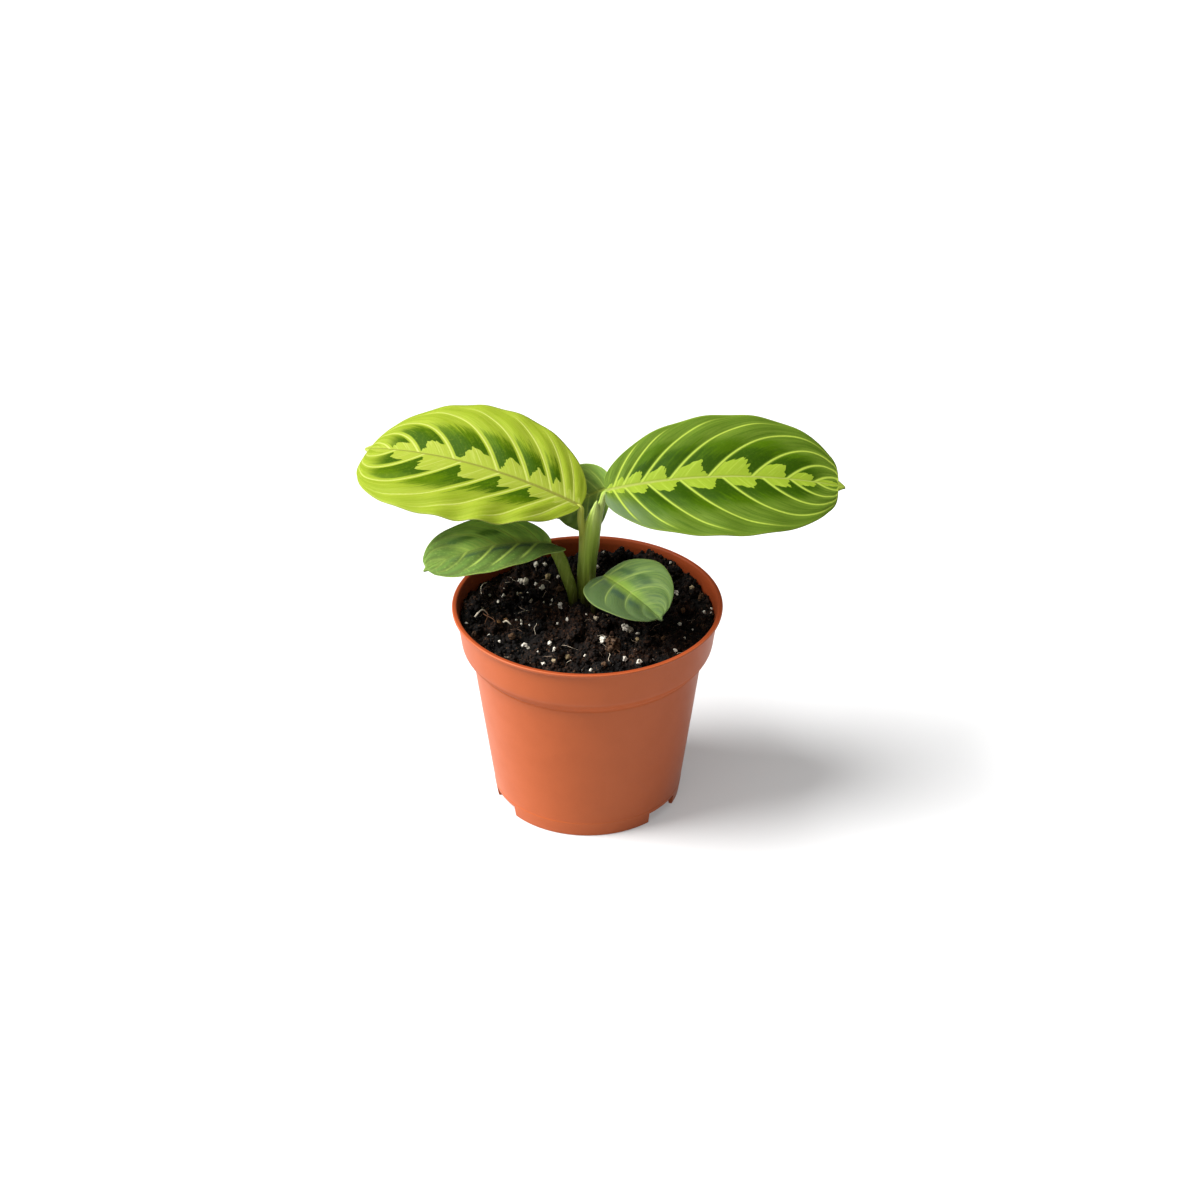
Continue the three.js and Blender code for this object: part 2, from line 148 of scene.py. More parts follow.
for method_name, operation_name in (
        ("add", "ADD"), ("sub", "SUBTRACT"), ("mul", "MULTIPLY"), ("truediv", "DIVIDE"),
        ("pow", "POWER")):
    setattr(Field, f"__{method_name}__", reckoning(operation_name))
    setattr(Field, f"__r{method_name}__", reckoning(operation_name, backwards=True))
for method_name, operation_name in (
        ("__abs__", "ABSOLUTE"), ("sin", "SINE"), ("cos", "COSINE"), ("exp", "EXPONENT"),
        ("sign", "SIGN"), ("fraction", "FRACT"), ("lowest", "MINIMUM"), ("highest", "MAXIMUM"),
        ("below", "LESS_THAN")):
    setattr(Field, method_name, reckoning(operation_name))


class Graph:
    """Adds nodes and links to a tree."""

    def __init__(self, tree):
        self.tree = tree

    def node(self, kind, inputs=None, **settings):
        made = self.tree.nodes.new(kind)
        for key, value in settings.items():
            setattr(made, key, value)
        for key, value in (inputs or {}).items():
            self.feed(made.inputs[key], value)
        return made

    def field(self, kind, inputs=None, output=0, **settings):
        return Field(self, self.node(kind, inputs, **settings).outputs[output])

    def feed(self, socket, value):
        if isinstance(value, Field):
            self.tree.links.new(value.socket, socket)
        elif isinstance(value, bpy.types.NodeSocket):
            self.tree.links.new(value, socket)
        elif socket.type == "RGBA" and isinstance(value, str):
            socket.default_value = (*shade(value), 1)
        elif socket.type == "RGBA" and len(value) == 3:
            socket.default_value = (*value, 1)
        else:
            socket.default_value = value

    def math(self, operation, *terms):
        made = self.node("ShaderNodeMath", operation=operation)
        for socket, term in zip(made.inputs, terms):
            self.feed(socket, term)
        return Field(self, made.outputs[0])

    def mix(self, factor, first, second):
        return first + (second - first) * factor

    def blend(self, factor, first, second):
        made = self.node("ShaderNodeMix", data_type="RGBA")
        for spot, value in ((0, factor), (6, first), (7, second)):
            self.feed(made.inputs[spot], value)
        return Field(self, made.outputs[2])

    def layered(self, tone, *layers):
        """A colour with others laid over it, each by its share."""
        for share, cover in layers:
            tone = self.blend(share, tone, cover)
        return tone

    def vector(self, x, y, z):
        return self.field("ShaderNodeCombineXYZ", {0: x, 1: y, 2: z})

    def parts(self, vector):
        """The three numbers of a vector."""
        made = self.node("ShaderNodeSeparateXYZ", {0: vector})
        return [Field(self, socket) for socket in made.outputs]

    def known(self, name):
        """A number that is stored on each point of a mesh."""
        return self.field("GeometryNodeInputNamedAttribute", {"Name": name}, data_type="FLOAT")

    def add_vectors(self, *vectors):
        total = vectors[0]
        for vector in vectors[1:]:
            total = self.field("ShaderNodeVectorMath", {0: total, 1: vector}, operation="ADD")
        return total

    def scaled(self, vector, factor):
        return self.field("ShaderNodeVectorMath", {0: vector, "Scale": factor}, operation="SCALE")

    def noise(self, place, scale, detail=2.0, roughness=0.5):
        settings = {"Vector": place, "Scale": scale, "Detail": detail, "Roughness": roughness}
        return self.field("ShaderNodeTexNoise", settings)


# Plain mesh helpers

def new_object(name, data):
    """An object of the scene, at its origin."""
    made = bpy.data.objects.new(name, data)
    bpy.context.scene.collection.objects.link(made)
    return made


def mesh_object(name, points, faces=(), edges=()):
    """A mesh from points in millimetres."""
    mesh = bpy.data.meshes.new(name)
    mesh.from_pydata((np.asarray(points, float) * MM).tolist(), edges, faces)
    return new_object(name, mesh)


def store(piece, name, values):
    """Puts a number on each point of a piece."""
    layer = piece.data.attributes.new(name, "FLOAT", "POINT")
    layer.data.foreach_set("value", np.asarray(values, np.float32).ravel())


def grid_faces(rows, columns, closed=False):
    """Quads of a sheet of points, with the last column joined to the first if it is closed."""
    wide = columns if closed else columns - 1
    row, column = np.meshgrid(np.arange(rows - 1), np.arange(wide), indexing="ij")
    after = (column + 1) % columns
    corners = [row * columns + column, row * columns + after,
               (row + 1) * columns + after, (row + 1) * columns + column]
    return np.stack(corners, -1).reshape(-1, 4).tolist()


def edge_order(rows, columns):
    """Numbers of the points round a sheet, in order."""
    grid = np.arange(rows * columns).reshape(rows, columns)
    return np.concatenate([grid[0, :], grid[1:, -1], grid[-1, -2::-1], grid[-2:0:-1, 0]])


def band(first, second):
    """Quads between two closed rows of points."""
    return np.stack([first, np.roll(first, -1), np.roll(second, -1), second], -1).tolist()


def shell_faces(rows, columns):
    """Faces of a sheet with a second one under it, joined round the rim."""
    count, edge = rows * columns, edge_order(rows, columns)
    top = [face[::-1] for face in grid_faces(rows, columns)]
    below = [[corner + count for corner in face[::-1]] for face in top]
    return top + below + band(edge, edge + count)


def plain_mesh(piece):
    """Turns a piece and its modifiers into a plain mesh, its points in the same order."""
    bpy.context.view_layer.update()
    graph = bpy.context.evaluated_depsgraph_get()
    mesh = bpy.data.meshes.new_from_object(piece.evaluated_get(graph), depsgraph=graph)
    piece.modifiers.clear()
    old = piece.data
    piece.data = mesh
    bpy.data.meshes.remove(old)
    mesh.name = piece.name
    return piece


def finished(piece, closed=True):
    """Turns a piece into a plain, smooth mesh with its faces outwards."""
    mesh = plain_mesh(piece).data
    work = bmesh.new()
    work.from_mesh(mesh)
    bmesh.ops.remove_doubles(work, verts=work.verts, dist=0.002 * MM)
    bmesh.ops.dissolve_degenerate(work, edges=work.edges, dist=0.001 * MM)
    if closed:
        bmesh.ops.recalc_face_normals(work, faces=work.faces)
    work.to_mesh(mesh)
    work.free()
    mesh.polygons.foreach_set("use_smooth", [True] * len(mesh.polygons))
    return piece


def joined(pieces, name):
    """Several pieces as one."""
    whole = bmesh.new()
    for piece in pieces:
        whole.from_mesh(piece.data)
    mesh = bpy.data.meshes.new(name)
    whole.to_mesh(mesh)
    whole.free()
    for piece in pieces:
        bpy.data.objects.remove(piece)
    return new_object(name, mesh)


def creased(piece, degrees):
    """Marks the edges that turn by more than an angle as sharp."""
    work = bmesh.new()
    work.from_mesh(piece.data)
    for edge in work.edges:
        edge.smooth = edge.calc_face_angle(0) < math.radians(degrees)
    work.to_mesh(piece.data)
    work.free()


def new_tree(name, sockets):
    """A geometry tree with the given inputs, its graph and its incoming geometry."""
    tree = bpy.data.node_groups.new(name, "GeometryNodeTree")
    tree.interface.new_socket("Geometry", in_out="INPUT", socket_type="NodeSocketGeometry")
    for label, kind, default, note in sockets:
        made = tree.interface.new_socket(label, in_out="INPUT", socket_type=f"NodeSocket{kind}",
                                         description=note)
        if default is not None:
            made.default_value = default
    tree.interface.new_socket("Geometry", in_out="OUTPUT", socket_type="NodeSocketGeometry")
    graph = Graph(tree)
    entry = graph.node("NodeGroupInput")
    given = {socket.name: Field(graph, socket) for socket in entry.outputs if socket.name}
    return tree, graph, given


def close_tree(graph, geometry, material):
    """Ends a tree in Realize Instances and Set Material."""
    whole = graph.field("GeometryNodeRealizeInstances", {0: geometry})
    coated = graph.field("GeometryNodeSetMaterial", {"Geometry": whole, "Material": material})
    leave = graph.node("NodeGroupOutput")
    graph.feed(leave.inputs[0], coated)


def add_tree(piece, tree, **values):
    """Hangs a tree on a piece and sets its inputs by their identifiers."""
    modifier = piece.modifiers.new(tree.name, "NODES")
    modifier.node_group = tree
    for item in tree.interface.items_tree:
        if item.in_out == "INPUT" and item.name in values:
            modifier[item.identifier] = values.pop(item.name)
    if values:
        raise ValueError(f"{tree.name} has no inputs {sorted(values)}")
    return modifier


def new_material(name, constants=None):
    """A material, its graph and its principled shader, with its constant sockets set."""
    material = bpy.data.materials.new(name)
    material.use_nodes = True
    material.node_tree.nodes.clear()
    graph = Graph(material.node_tree)
    shader = graph.node("ShaderNodeBsdfPrincipled", constants)
    leave = graph.node("ShaderNodeOutputMaterial")
    graph.feed(leave.inputs["Surface"], shader.outputs[0])
    return material, graph, shader


def attribute(graph, name):
    """A number of each point, as a shader reads it."""
    return graph.field("ShaderNodeAttribute", output="Fac", attribute_name=name)


def paint(graph, shader, tone, roughness):
    """Feeds a shader its colour and its roughness."""
    graph.feed(shader.inputs["Base Color"], tone)
    graph.feed(shader.inputs["Roughness"], roughness)


def bump(graph, shader, height, distance, strength=1.0):
    """Height in a field, raised by a distance in millimetres where it is 1."""
    made = graph.node("ShaderNodeBump", {"Height": height})
    made.inputs["Distance"].default_value = distance * MM
    made.inputs["Strength"].default_value = strength
    graph.feed(shader.inputs["Normal"], made.outputs[0])


def object_place(graph):
    """The place on the piece, for patterns that don't slide."""
    return Field(graph, graph.node("ShaderNodeTexCoord").outputs["Object"])


def settle(piece, node, material=None):
    """Makes a finished piece stand for a node and ride with the plant."""
    if material:
        piece.data.materials.clear()
        piece.data.materials.append(material)
    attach(piece, "root")
    if node:
        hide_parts(node)


# Ground and camera rays

def ground(x, y):
    """Height of the soil's top in millimetres, as the solid has it."""
    mound = 2.2 * np.exp(-((np.hypot(x, y - STALK_MIDDLE_Y) / 16) ** 2))
    broad = np.sin(0.13 * x + 1.1) * np.cos(0.11 * y - 0.6)
    lumps = np.sin(0.41 * x + 0.23 * y) * np.cos(0.37 * y - 0.19 * x + 2)
    fine = np.sin(0.83 * x - 0.61 * y + 1) * np.sin(0.71 * x + 0.9 * y)
    return SOIL_TOP + mound + 1.3 * (0.7 * broad + 0.8 * lumps + 0.5 * fine)


def camera_frame():
    """Where the camera stands, and the ways right, up and ahead."""
    climb = math.radians(CAMERA_CLIMB)
    ahead = np.array([0, math.cos(climb), -math.sin(climb)])
    up = np.array([0, math.sin(climb), math.cos(climb)])
    return np.array(CAMERA_AIM) - ahead * CAMERA_DISTANCE, np.array([1, 0, 0]), up, ahead


# Settings

def length(label, millimetres, note):
    return FloatProperty(name=label, default=millimetres * MM, unit="LENGTH", precision=5,
                         description=note)


def angle(label, degrees, note):
    return FloatProperty(name=label, default=math.radians(degrees), subtype="ANGLE",
                         description=note)


def amount(label, value, note):
    return FloatProperty(name=label, default=value, description=note)


def colour(label, code, note):
    return FloatVectorProperty(name=label, size=3, subtype="COLOR", min=0, max=1,
                               default=shade(code), description=note)


class PotSettings(bpy.types.PropertyGroup):
    """The nursery pot"""
    height: length("Height", 87, "From the foot to the top of the lip")
    lip_radius: length("Lip radius", 54, "Half the width across the lip")
    collar_radius: length("Collar radius", 52.2, "Outside radius under the lip")
    collar_foot_radius: length("Collar foot radius", 50.1, "Outside radius over the shoulder")
    collar_foot: length("Collar foot", 69.4, "Height where the collar turns in")
    shoulder_radius: length("Shoulder radius", 46.1, "Outside radius under the shoulder")
    shoulder: length("Shoulder", 65.6, "Height of the shoulder's lower edge")
    foot_radius: length("Foot radius", 37.5, "Outside radius of the foot ring")
    wall: length("Wall", 0.95, "Thickness of the wall")
    body_colour: colour("Plastic", "a04a1f", "Colour of the moulded plastic")
    # Painted shade on the outer edge of the lip's top
    lip_shade_colour: colour("Shaded lip", "8e4427", "Colour of the painted shade on the lip's edge")


class SoilSettings(bpy.types.PropertyGroup):
    """The peat and what lies in it"""
    clod_height: length("Clod height", 4.6, "How far the broad lumps rise and sink")
    crumb_height: length("Crumb height", 1.5, "How far the small lumps rise and sink")
    crumbs: amount("Crumbs", 0.56, "Loose crumbs on a square millimetre")
    largest_crumb: length("Largest crumb", 1.1, "Radius of the largest loose crumb")
    seed: IntProperty(name="Seed", default=4, description="Draw of the random places")
    peat_colour: colour("Peat", "070504", "Colour of the wet peat")
    crumb_colour: colour("Dry crumbs", "402716", "Colour of the drier crumbs")
    grain_colour: colour("Perlite", "cac4b6", "Colour of the perlite grains")


class StalkSettings(bpy.types.PropertyGroup):
    """The stalks and their sheaths"""
    flute: amount("Flute", 0.035, "Depth of the lengthwise ridges over the radius")
    seam: amount("Seam", 0.16, "Depth of the sheath's seam over the radius")
    base_colour: colour("Foot", "3d460d", "Colour near the soil")
    top_colour: colour("Top", "859b38", "Colour near the blades")
    left_colour: colour("Left stalk", "a6a040", "Colour of the left leaf's stalk")
    flap_colour: colour("Flap", "96a163", "Colour of the flap that ends the sheath")


class StageSettings(bpy.types.PropertyGroup):
    """The floor, the lights and the camera"""
    floor_size: length("Floor size", 12000, "Width of the floor")
    floor_colour: colour("Floor", "b6b6b6", "Colour of the floor")
    key_power: amount("Key light", 9.2, "Strength of the light from the left")
    key_softness: angle("Key softness", 42, "How wide the key light is")
    top_power: amount("Top light", 0.8, "Strength of the light from above")
    top_softness: angle("Top softness", 42, "How wide the top light is")
    floor_glow: amount("Floor glow", 0.22, "Strength of the light that comes through the floor")
    sky: amount("Sky", 0.25, "Strength of the white surroundings")


# Shape of each blade, as the solids have it: lengths in millimetres, angles in degrees
BLADES = {
    "leaf_large_right": dict(
        size="large", vein_width=0.47, base=(7.3, 10, 132.4), length=95, half_width=29,
        heading=(-5, 3),
        climb=(17, -14), roll=(25, 24), fold=8, bow=-10, left=(0.49, 0.45),
        right=(0.48, 0.45), ears=(1.2, 1.2), quilt=0.75, waves=5, wave=0.4, frill=0, rib=1.1,
        teeth=(0.05, 0.24, 0.06, 0.23), lean=(0.9, 1.8), border=0.45, veil=(0, 0.7), tip_sheen=0,
        spread=(0.7, 0.42)),
    "leaf_large_left": dict(
        size="large", vein_width=0.37, base=(-2.5, 8, 126.5), length=97, half_width=30.4,
        heading=(166, 148),
        climb=(23, -16), roll=(-23, -15), fold=7, bow=-11, left=(0.66, 0.41),
        right=(0.47, 0.47), ears=(0, 0.6), quilt=0.85, waves=6, wave=0.35, frill=3.2, rib=1.1,
        teeth=(0.11, 0.3, 0.08, 0.26), lean=(0.94, 1.9), border=0.9, veil=(0, 0), tip_sheen=0,
        spread=(0.48, 0.66)),
    "leaf_small_left": dict(
        size="small", vein_width=0.3, base=(-14.3, 9, 109), length=53, half_width=16.2,
        heading=(184, 208),
        climb=(9, -18), roll=(-8, -10), fold=11, bow=-13, left=(0.51, 0.51),
        right=(0.5, 0.5), ears=(7, 0), quilt=0.6, waves=3, wave=0.3, frill=0, rib=0.8,
        veil=(0.9, 0), tip_sheen=0.85, band=(0.2, 0.42)),
    "leaf_small_right": dict(
        size="small", vein_width=0.33, base=(6.4, 5.5, 96.2), length=43, half_width=16.1,
        heading=(-63, -53),
        climb=(16, -12), roll=(19, 15), fold=18, bow=-7, left=(0.57, 0.51),
        right=(0.47, 0.51), ears=(0, 1.5), quilt=0.6, waves=2, wave=0.4, frill=0, rib=0.7,
        veil=(0, 0.8), tip_sheen=0, band=(0.45, 0.3)),
    "leaf_back": dict(
        size="small", vein_width=0.34, base=(9.9, 23, 126.9), length=33, half_width=13.3,
        heading=(147, 158),
        climb=(-29, -50), roll=(-58, -88), fold=9, bow=-9, left=(0.45, 0.47),
        right=(0.45, 0.47), ears=(0, 0), quilt=0.45, waves=2, wave=0.4, frill=0, rib=0.7,
        veil=(0, 0), tip_sheen=0, band=(0.4, 0.4)),
}
# Where the side veins leave the midrib, as shares of its length: left half, right half
VEIN_STARTS = {
    "leaf_large_right": ((0, 0.032, 0.072, 0.15, 0.27, 0.43, 0.61, 0.755, 0.87, 1),
                         (0, 0.03, 0.08, 0.176, 0.31, 0.488, 0.652, 0.77, 0.88, 1)),
    "leaf_large_left": ((0, 0.045, 0.1, 0.22, 0.357, 0.53, 0.7, 0.84, 1),
                        (0, 0.033, 0.07, 0.132, 0.235, 0.37, 0.565, 0.73, 0.87, 1)),
    "leaf_small_left": ((0, 0.1, 0.24, 0.43, 0.65, 0.82, 1),
                        (0, 0.09, 0.24, 0.42, 0.63, 0.82, 1)),
    "leaf_small_right": ((0, 0.06, 0.26, 0.5, 0.75, 0.92, 1),
                         (0, 0.07, 0.27, 0.52, 0.73, 0.9, 1)),
    "leaf_back": ((0, 0.1, 0.22, 0.38, 0.56, 0.74, 0.9, 1),
                  (0, 0.1, 0.22, 0.38, 0.56, 0.74, 0.9, 1)),
}
# Each blade's sheen colour is painted sheen, and its sheen patch colour is the patches seen under
# that painted sheen.
BLADE_COLOURS = {
    "leaf_large_right": dict(margin="3d530f", streak="566a1f", patch="223a00", depth="344d00",
                             centre="6f8220", vein="8a9a38", midrib="828a41", under="64745d",
                             veil="4f5f46", shade="304508", smudge="203a10"),
    "leaf_large_left": dict(margin="6d7d18", streak="818d2c", patch="2a4300", depth="3f5600",
                            centre="7c882a", vein="989f50", midrib="6d6e2a", under="7e865d",
                            veil="7e8a40", shade="637410", smudge="2c4800"),
    # Painted light: the small left leaf's tissue colours are raised to make up for the shadow that
    # the large left leaf casts on its far half.
    "leaf_small_left": dict(margin="89b552", streak="b5d464", patch="4c711f", depth="649331",
                            centre="7c9440", vein="98aa4c", midrib="8a9a4c", under="7f8e68",
                            veil="33401d", shade="5d8237", smudge="2c4034"),
    "leaf_small_right": dict(margin="3c502a", streak="556632", patch="293d22", depth="2d411f",
                             centre="647c28", vein="64733a", midrib="6c7c34", under="586250",
                             veil="3a4a2c", shade="2f4120", smudge="2a3b2c"),
    "leaf_back": dict(margin="5a7330", streak="6e8536", patch="3f5a1c", depth="476420",
                      centre="6b7f2f", vein="889b45", midrib="919b3a", under="829151",
                      veil="5a7048", shade="4a6426", smudge="35502a"),
}


def blade_settings(name):
    """A property group with one blade's own sizes and colours as its defaults."""
    blade, tints = BLADES[name], BLADE_COLOURS[name]
    said = {
        "base": FloatVectorProperty(name="Base", size=3, subtype="TRANSLATION", precision=5,
                                    default=[v * MM for v in blade["base"]],
                                    description="Where the blade leaves its stalk"),
        "length": length("Length", blade["length"], "Midrib from base to tip"),
        "half_width": length("Half width", blade["half_width"], "Midrib to the widest margin"),
        "fold": angle("Fold", blade["fold"], "How steeply each half leaves the midrib"),
        "bow": angle("Bow", blade["bow"], "How far each half bends down to its margin"),
        "quilt": length("Quilting", blade["quilt"], "How far the blade puffs up between veins"),
        "wave": length("Wave", blade["wave"], "How far the margin waves"),
        "thickness": length("Thickness", 0.62, "Thickness at the midrib"),
    }
    for part, note in (("heading", "Way it points, seen from above"), ("climb", "Its slope"),
                       ("roll", "Its lean to the side")):
        for end, degrees in zip(("base", "tip"), blade[part]):
            said[f"{part}_{end}"] = angle(f"{part.title()} at {end}", degrees, note)
    for part, code in tints.items():
        said[f"{part}_colour"] = colour(part.title(), code, f"Colour of the {part}")
    return type(f"{name.title().replace('_', '')}Settings", (bpy.types.PropertyGroup,),
                {"__annotations__": said, "__doc__": name.replace("_", " ")})


BLADE_GROUPS = {name: blade_settings(name) for name in BLADES}


class PlantSettings(bpy.types.PropertyGroup):
    """Everything about the plant that a user would change"""
    pot: PointerProperty(type=PotSettings)
    soil: PointerProperty(type=SoilSettings)
    stalks: PointerProperty(type=StalkSettings)
    stage: PointerProperty(type=StageSettings)


for blade_name, blade_group in BLADE_GROUPS.items():
    PlantSettings.__annotations__[blade_name] = PointerProperty(type=blade_group)


# Pot

def rounded(corners):
    """An outline of (radius, height, rounding) corners with arcs in place of the corners."""
    outline = []
    spots = [np.array(corner[:2], float) for corner in corners]
    for i, (radius, height, rounding) in enumerate(corners):
        here = spots[i]
        if not rounding or i in (0, len(corners) - 1):
            outline.append(here)
            continue
        back, on = spots[i - 1] - here, spots[i + 1] - here
        reach = min(rounding, 0.45 * np.hypot(*back), 0.45 * np.hypot(*on))
        start = here + back / np.hypot(*back) * reach
        end = here + on / np.hypot(*on) * reach
        for t in np.linspace(0, 1, 7):
            outline.append((1 - t) ** 2 * start + 2 * t * (1 - t) * here + t ** 2 * end)
    return np.array(outline)


def densified(outline, step):
    """The outline with long straight runs cut up."""
    dense = [outline[0]]
    for a, b in zip(outline, outline[1:]):
        parts = max(1, int(np.hypot(*(b - a)) / step))
        dense += [a + (b - a) * (k + 1) / parts for k in range(parts)]
    return np.array(dense)


def pot_outline(pot):
    """Corners of the pot's section from the middle of the underside to the middle of the floor."""
    top, lip = pot.height / MM, pot.lip_radius / MM
    collar, collar_low = pot.collar_radius / MM, pot.collar_foot_radius / MM
    turn = pot.collar_foot / MM
    neck, shoulder, foot, wall = (pot.shoulder_radius / MM, pot.shoulder / MM,
                                  pot.foot_radius / MM, pot.wall / MM)
    at_step = foot + (neck - foot) * FOOT_STEP / shoulder
    return [
        (0, 0, 0), (18, 0, 0), (18.6, 3.2, 0.4), (foot - 2, 3.2, 0.4), (foot - 1.5, 0, 0.3),
        (foot - 0.1, 0, 0.5), (at_step + 0.02, FOOT_STEP - 0.2, 0.1),
        (at_step - 0.04, FOOT_STEP + 0.2, 0.1),
        (neck, shoulder - 0.5, 1.2), (neck + 0.3, shoulder + 0.1, 1.6), (collar_low, turn, 3.4),
        (collar + 0.1, top - 1.5, 0.3), (lip - 0.15, top - 1.3, 0.3), (lip, top - 0.1, 0.5),
        (lip - 1.9, top, 0.7), (collar - wall, top - 2.2, 0.8),
        (collar_low - wall, turn, 2.4), (neck - wall, shoulder, 2),
        (foot - wall, 5.6, 0), (foot - wall - 1, 4.6, 0.4), (0, 4.6, 0),
    ]


def notch_cutter(centre, foot):
    """A wedge that cuts one notch through the foot."""
    turns = np.radians(np.linspace(centre - NOTCH_ARC / 2, centre + NOTCH_ARC / 2, 9))
    rings = []
    for radius, height in ((foot - NOTCH_DEPTH, -1), (foot + 4, -1),
                           (foot + 4, NOTCH_HEIGHT), (foot - NOTCH_DEPTH, NOTCH_HEIGHT)):
        rings.append([(radius * math.cos(a), radius * math.sin(a), height) for a in turns])
    points = np.array(rings).transpose(1, 0, 2).reshape(-1, 3)
    faces = grid_faces(len(turns), 4, closed=True)
    faces += [[0, 1, 2, 3], [len(points) - 1 - k for k in range(4)]]
    return mesh_object(f"notch_{centre}", points, faces)


def pot_finish(pot):
    """Smooth moulded plastic with faint mottling, duller inside and under the collar."""
    material, g, shader = new_material("terracotta_plastic", {
        "Specular IOR Level": 0.25, "Specular Tint": (1.0, 0.85, 0.6, 1.0), "Coat Weight": 0.15,
        "Coat Roughness": 0.45})
    place = object_place(g)
    mottle = g.noise(place, 90, 4, 0.6)
    broad = g.noise(place, 22, 2)
    specks = g.noise(place, 1400, 2, 0.6).step(0.62, 0.75)
    x, y, height = g.parts(place)
    reach = (x * x + y * y) ** 0.5
    off_lip = reach - pot.lip_radius
    # Painted shade: the outer edge of the lip's top is darkened towards the lip shade colour.
    shaded_lip_edge = height.step(pot.height - 1.6 * MM, pot.height - 1.0 * MM)
    shaded_lip_edge = shaded_lip_edge * off_lip.step(-0.8 * MM, -0.4 * MM)
    between = (pot.collar_foot_radius + pot.collar_radius - pot.wall) / 2
    slope = (pot.collar_radius - pot.collar_foot_radius) / (pot.height - pot.collar_foot)
    middle = (height - (pot.height + pot.collar_foot) / 2) * slope + between
    # Painted shade: the inside of the pot and the inner part of the lip's top are darkened towards
    # 7c2d08, and made rougher.
    inside = 1 - (reach - middle).step(-0.1 * MM, 0.1 * MM)
    inside = inside * height.step(pot.collar_foot, pot.collar_foot + 1 * MM)
    on_top = height.step(pot.height - 2.4 * MM, pot.height - 2.1 * MM)
    inside = inside.highest(on_top * (1 - off_lip.step(-0.7 * MM, -0.3 * MM)))
    # Painted shade under the collar's overhang, which is also made rougher.
    shaded_under_collar = height.step(pot.shoulder - 1.5 * MM, pot.shoulder - 0.5 * MM)
    shaded_under_collar = shaded_under_collar * (1 - height.step(pot.collar_foot, pot.collar_foot + 1.5 * MM))
    tone = g.layered(
        pot.body_colour, (mottle.step(0.35, 0.7) * 0.22, "8f4019"),
        (broad.step(0.4, 0.75) * 0.25, "ac5226"), (shaded_lip_edge * 0.4, pot.lip_shade_colour),
        (shaded_under_collar * 0.1, "8f4019"), (specks * 0.12, "6b2f1c"), (inside * 0.85, "7c2d08"))
    matt = inside.highest(shaded_under_collar)
    paint(g, shader, tone, g.mix(matt, 0.4 + mottle * 0.12, 0.85))
    grain = g.noise(place, 2600, 2, 0.5) * 0.5 + mottle * 0.5
    bump(g, shader, grain, 0.03, 0.5)
    return material


class PLANT_OT_pot(bpy.types.Operator):
    """Turns the nursery pot and cuts the notches in its foot"""
    bl_idname = "plant.make_pot"
    bl_label = "Nursery pot"

    def execute(self, context):
        pot = context.scene.plant.pot
        outline = densified(rounded(pot_outline(pot)), POT_STEP)
        turns = np.linspace(0, 2 * math.pi, POT_SIDES, endpoint=False)
        rings = [[(r * math.cos(a), r * math.sin(a), z) for a in turns] for r, z in outline]
        points = np.array(rings).reshape(-1, 3)
        piece = mesh_object("nursery_pot", points, grid_faces(len(outline), POT_SIDES, True))
        finished(piece)
        for centre in NOTCH_CENTRES:
            cutter = finished(notch_cutter(centre, pot.foot_radius / MM))
            cut = piece.modifiers.new("Notch", "BOOLEAN")
            cut.object, cut.solver = cutter, "EXACT"
            finished(piece, closed=False)
            bpy.data.objects.remove(cutter)
        creased(piece, 40)
        settle(piece, "pot", pot_finish(pot))
        return {"FINISHED"}


# Blades

BLADE_NUMBERS = [
    ("Length", "Midrib from base to tip"), ("Half width", "Midrib to the widest margin"),
    ("Heading at base", "Way it points there"), ("Heading at tip", "Way it points there"),
    ("Climb at base", "Slope there"), ("Climb at tip", "Slope there"),
    ("Roll at base", "Lean there"), ("Roll at tip", "Lean there"),
    ("Fold", "How steeply each half leaves the midrib"), ("Bow", "Bend down to the margin"),
    ("Left base fullness", "How soon the left half widens"),
    ("Left tip fullness", "How late the left half narrows"),
    ("Right base fullness", "How soon the right half widens"),
    ("Right tip fullness", "How late the right half narrows"),
    ("Left ear", "Reach of the left base lobe"), ("Right ear", "Reach of the right base lobe"),
    ("Quilting", "Puffs between the side veins"), ("Waves", "Waves along the margin"),
    ("Wave height", "Height of the waves"), ("Frill", "Extra waves near the left base"),
    ("Vein groove", "Depth of the side veins"),
]


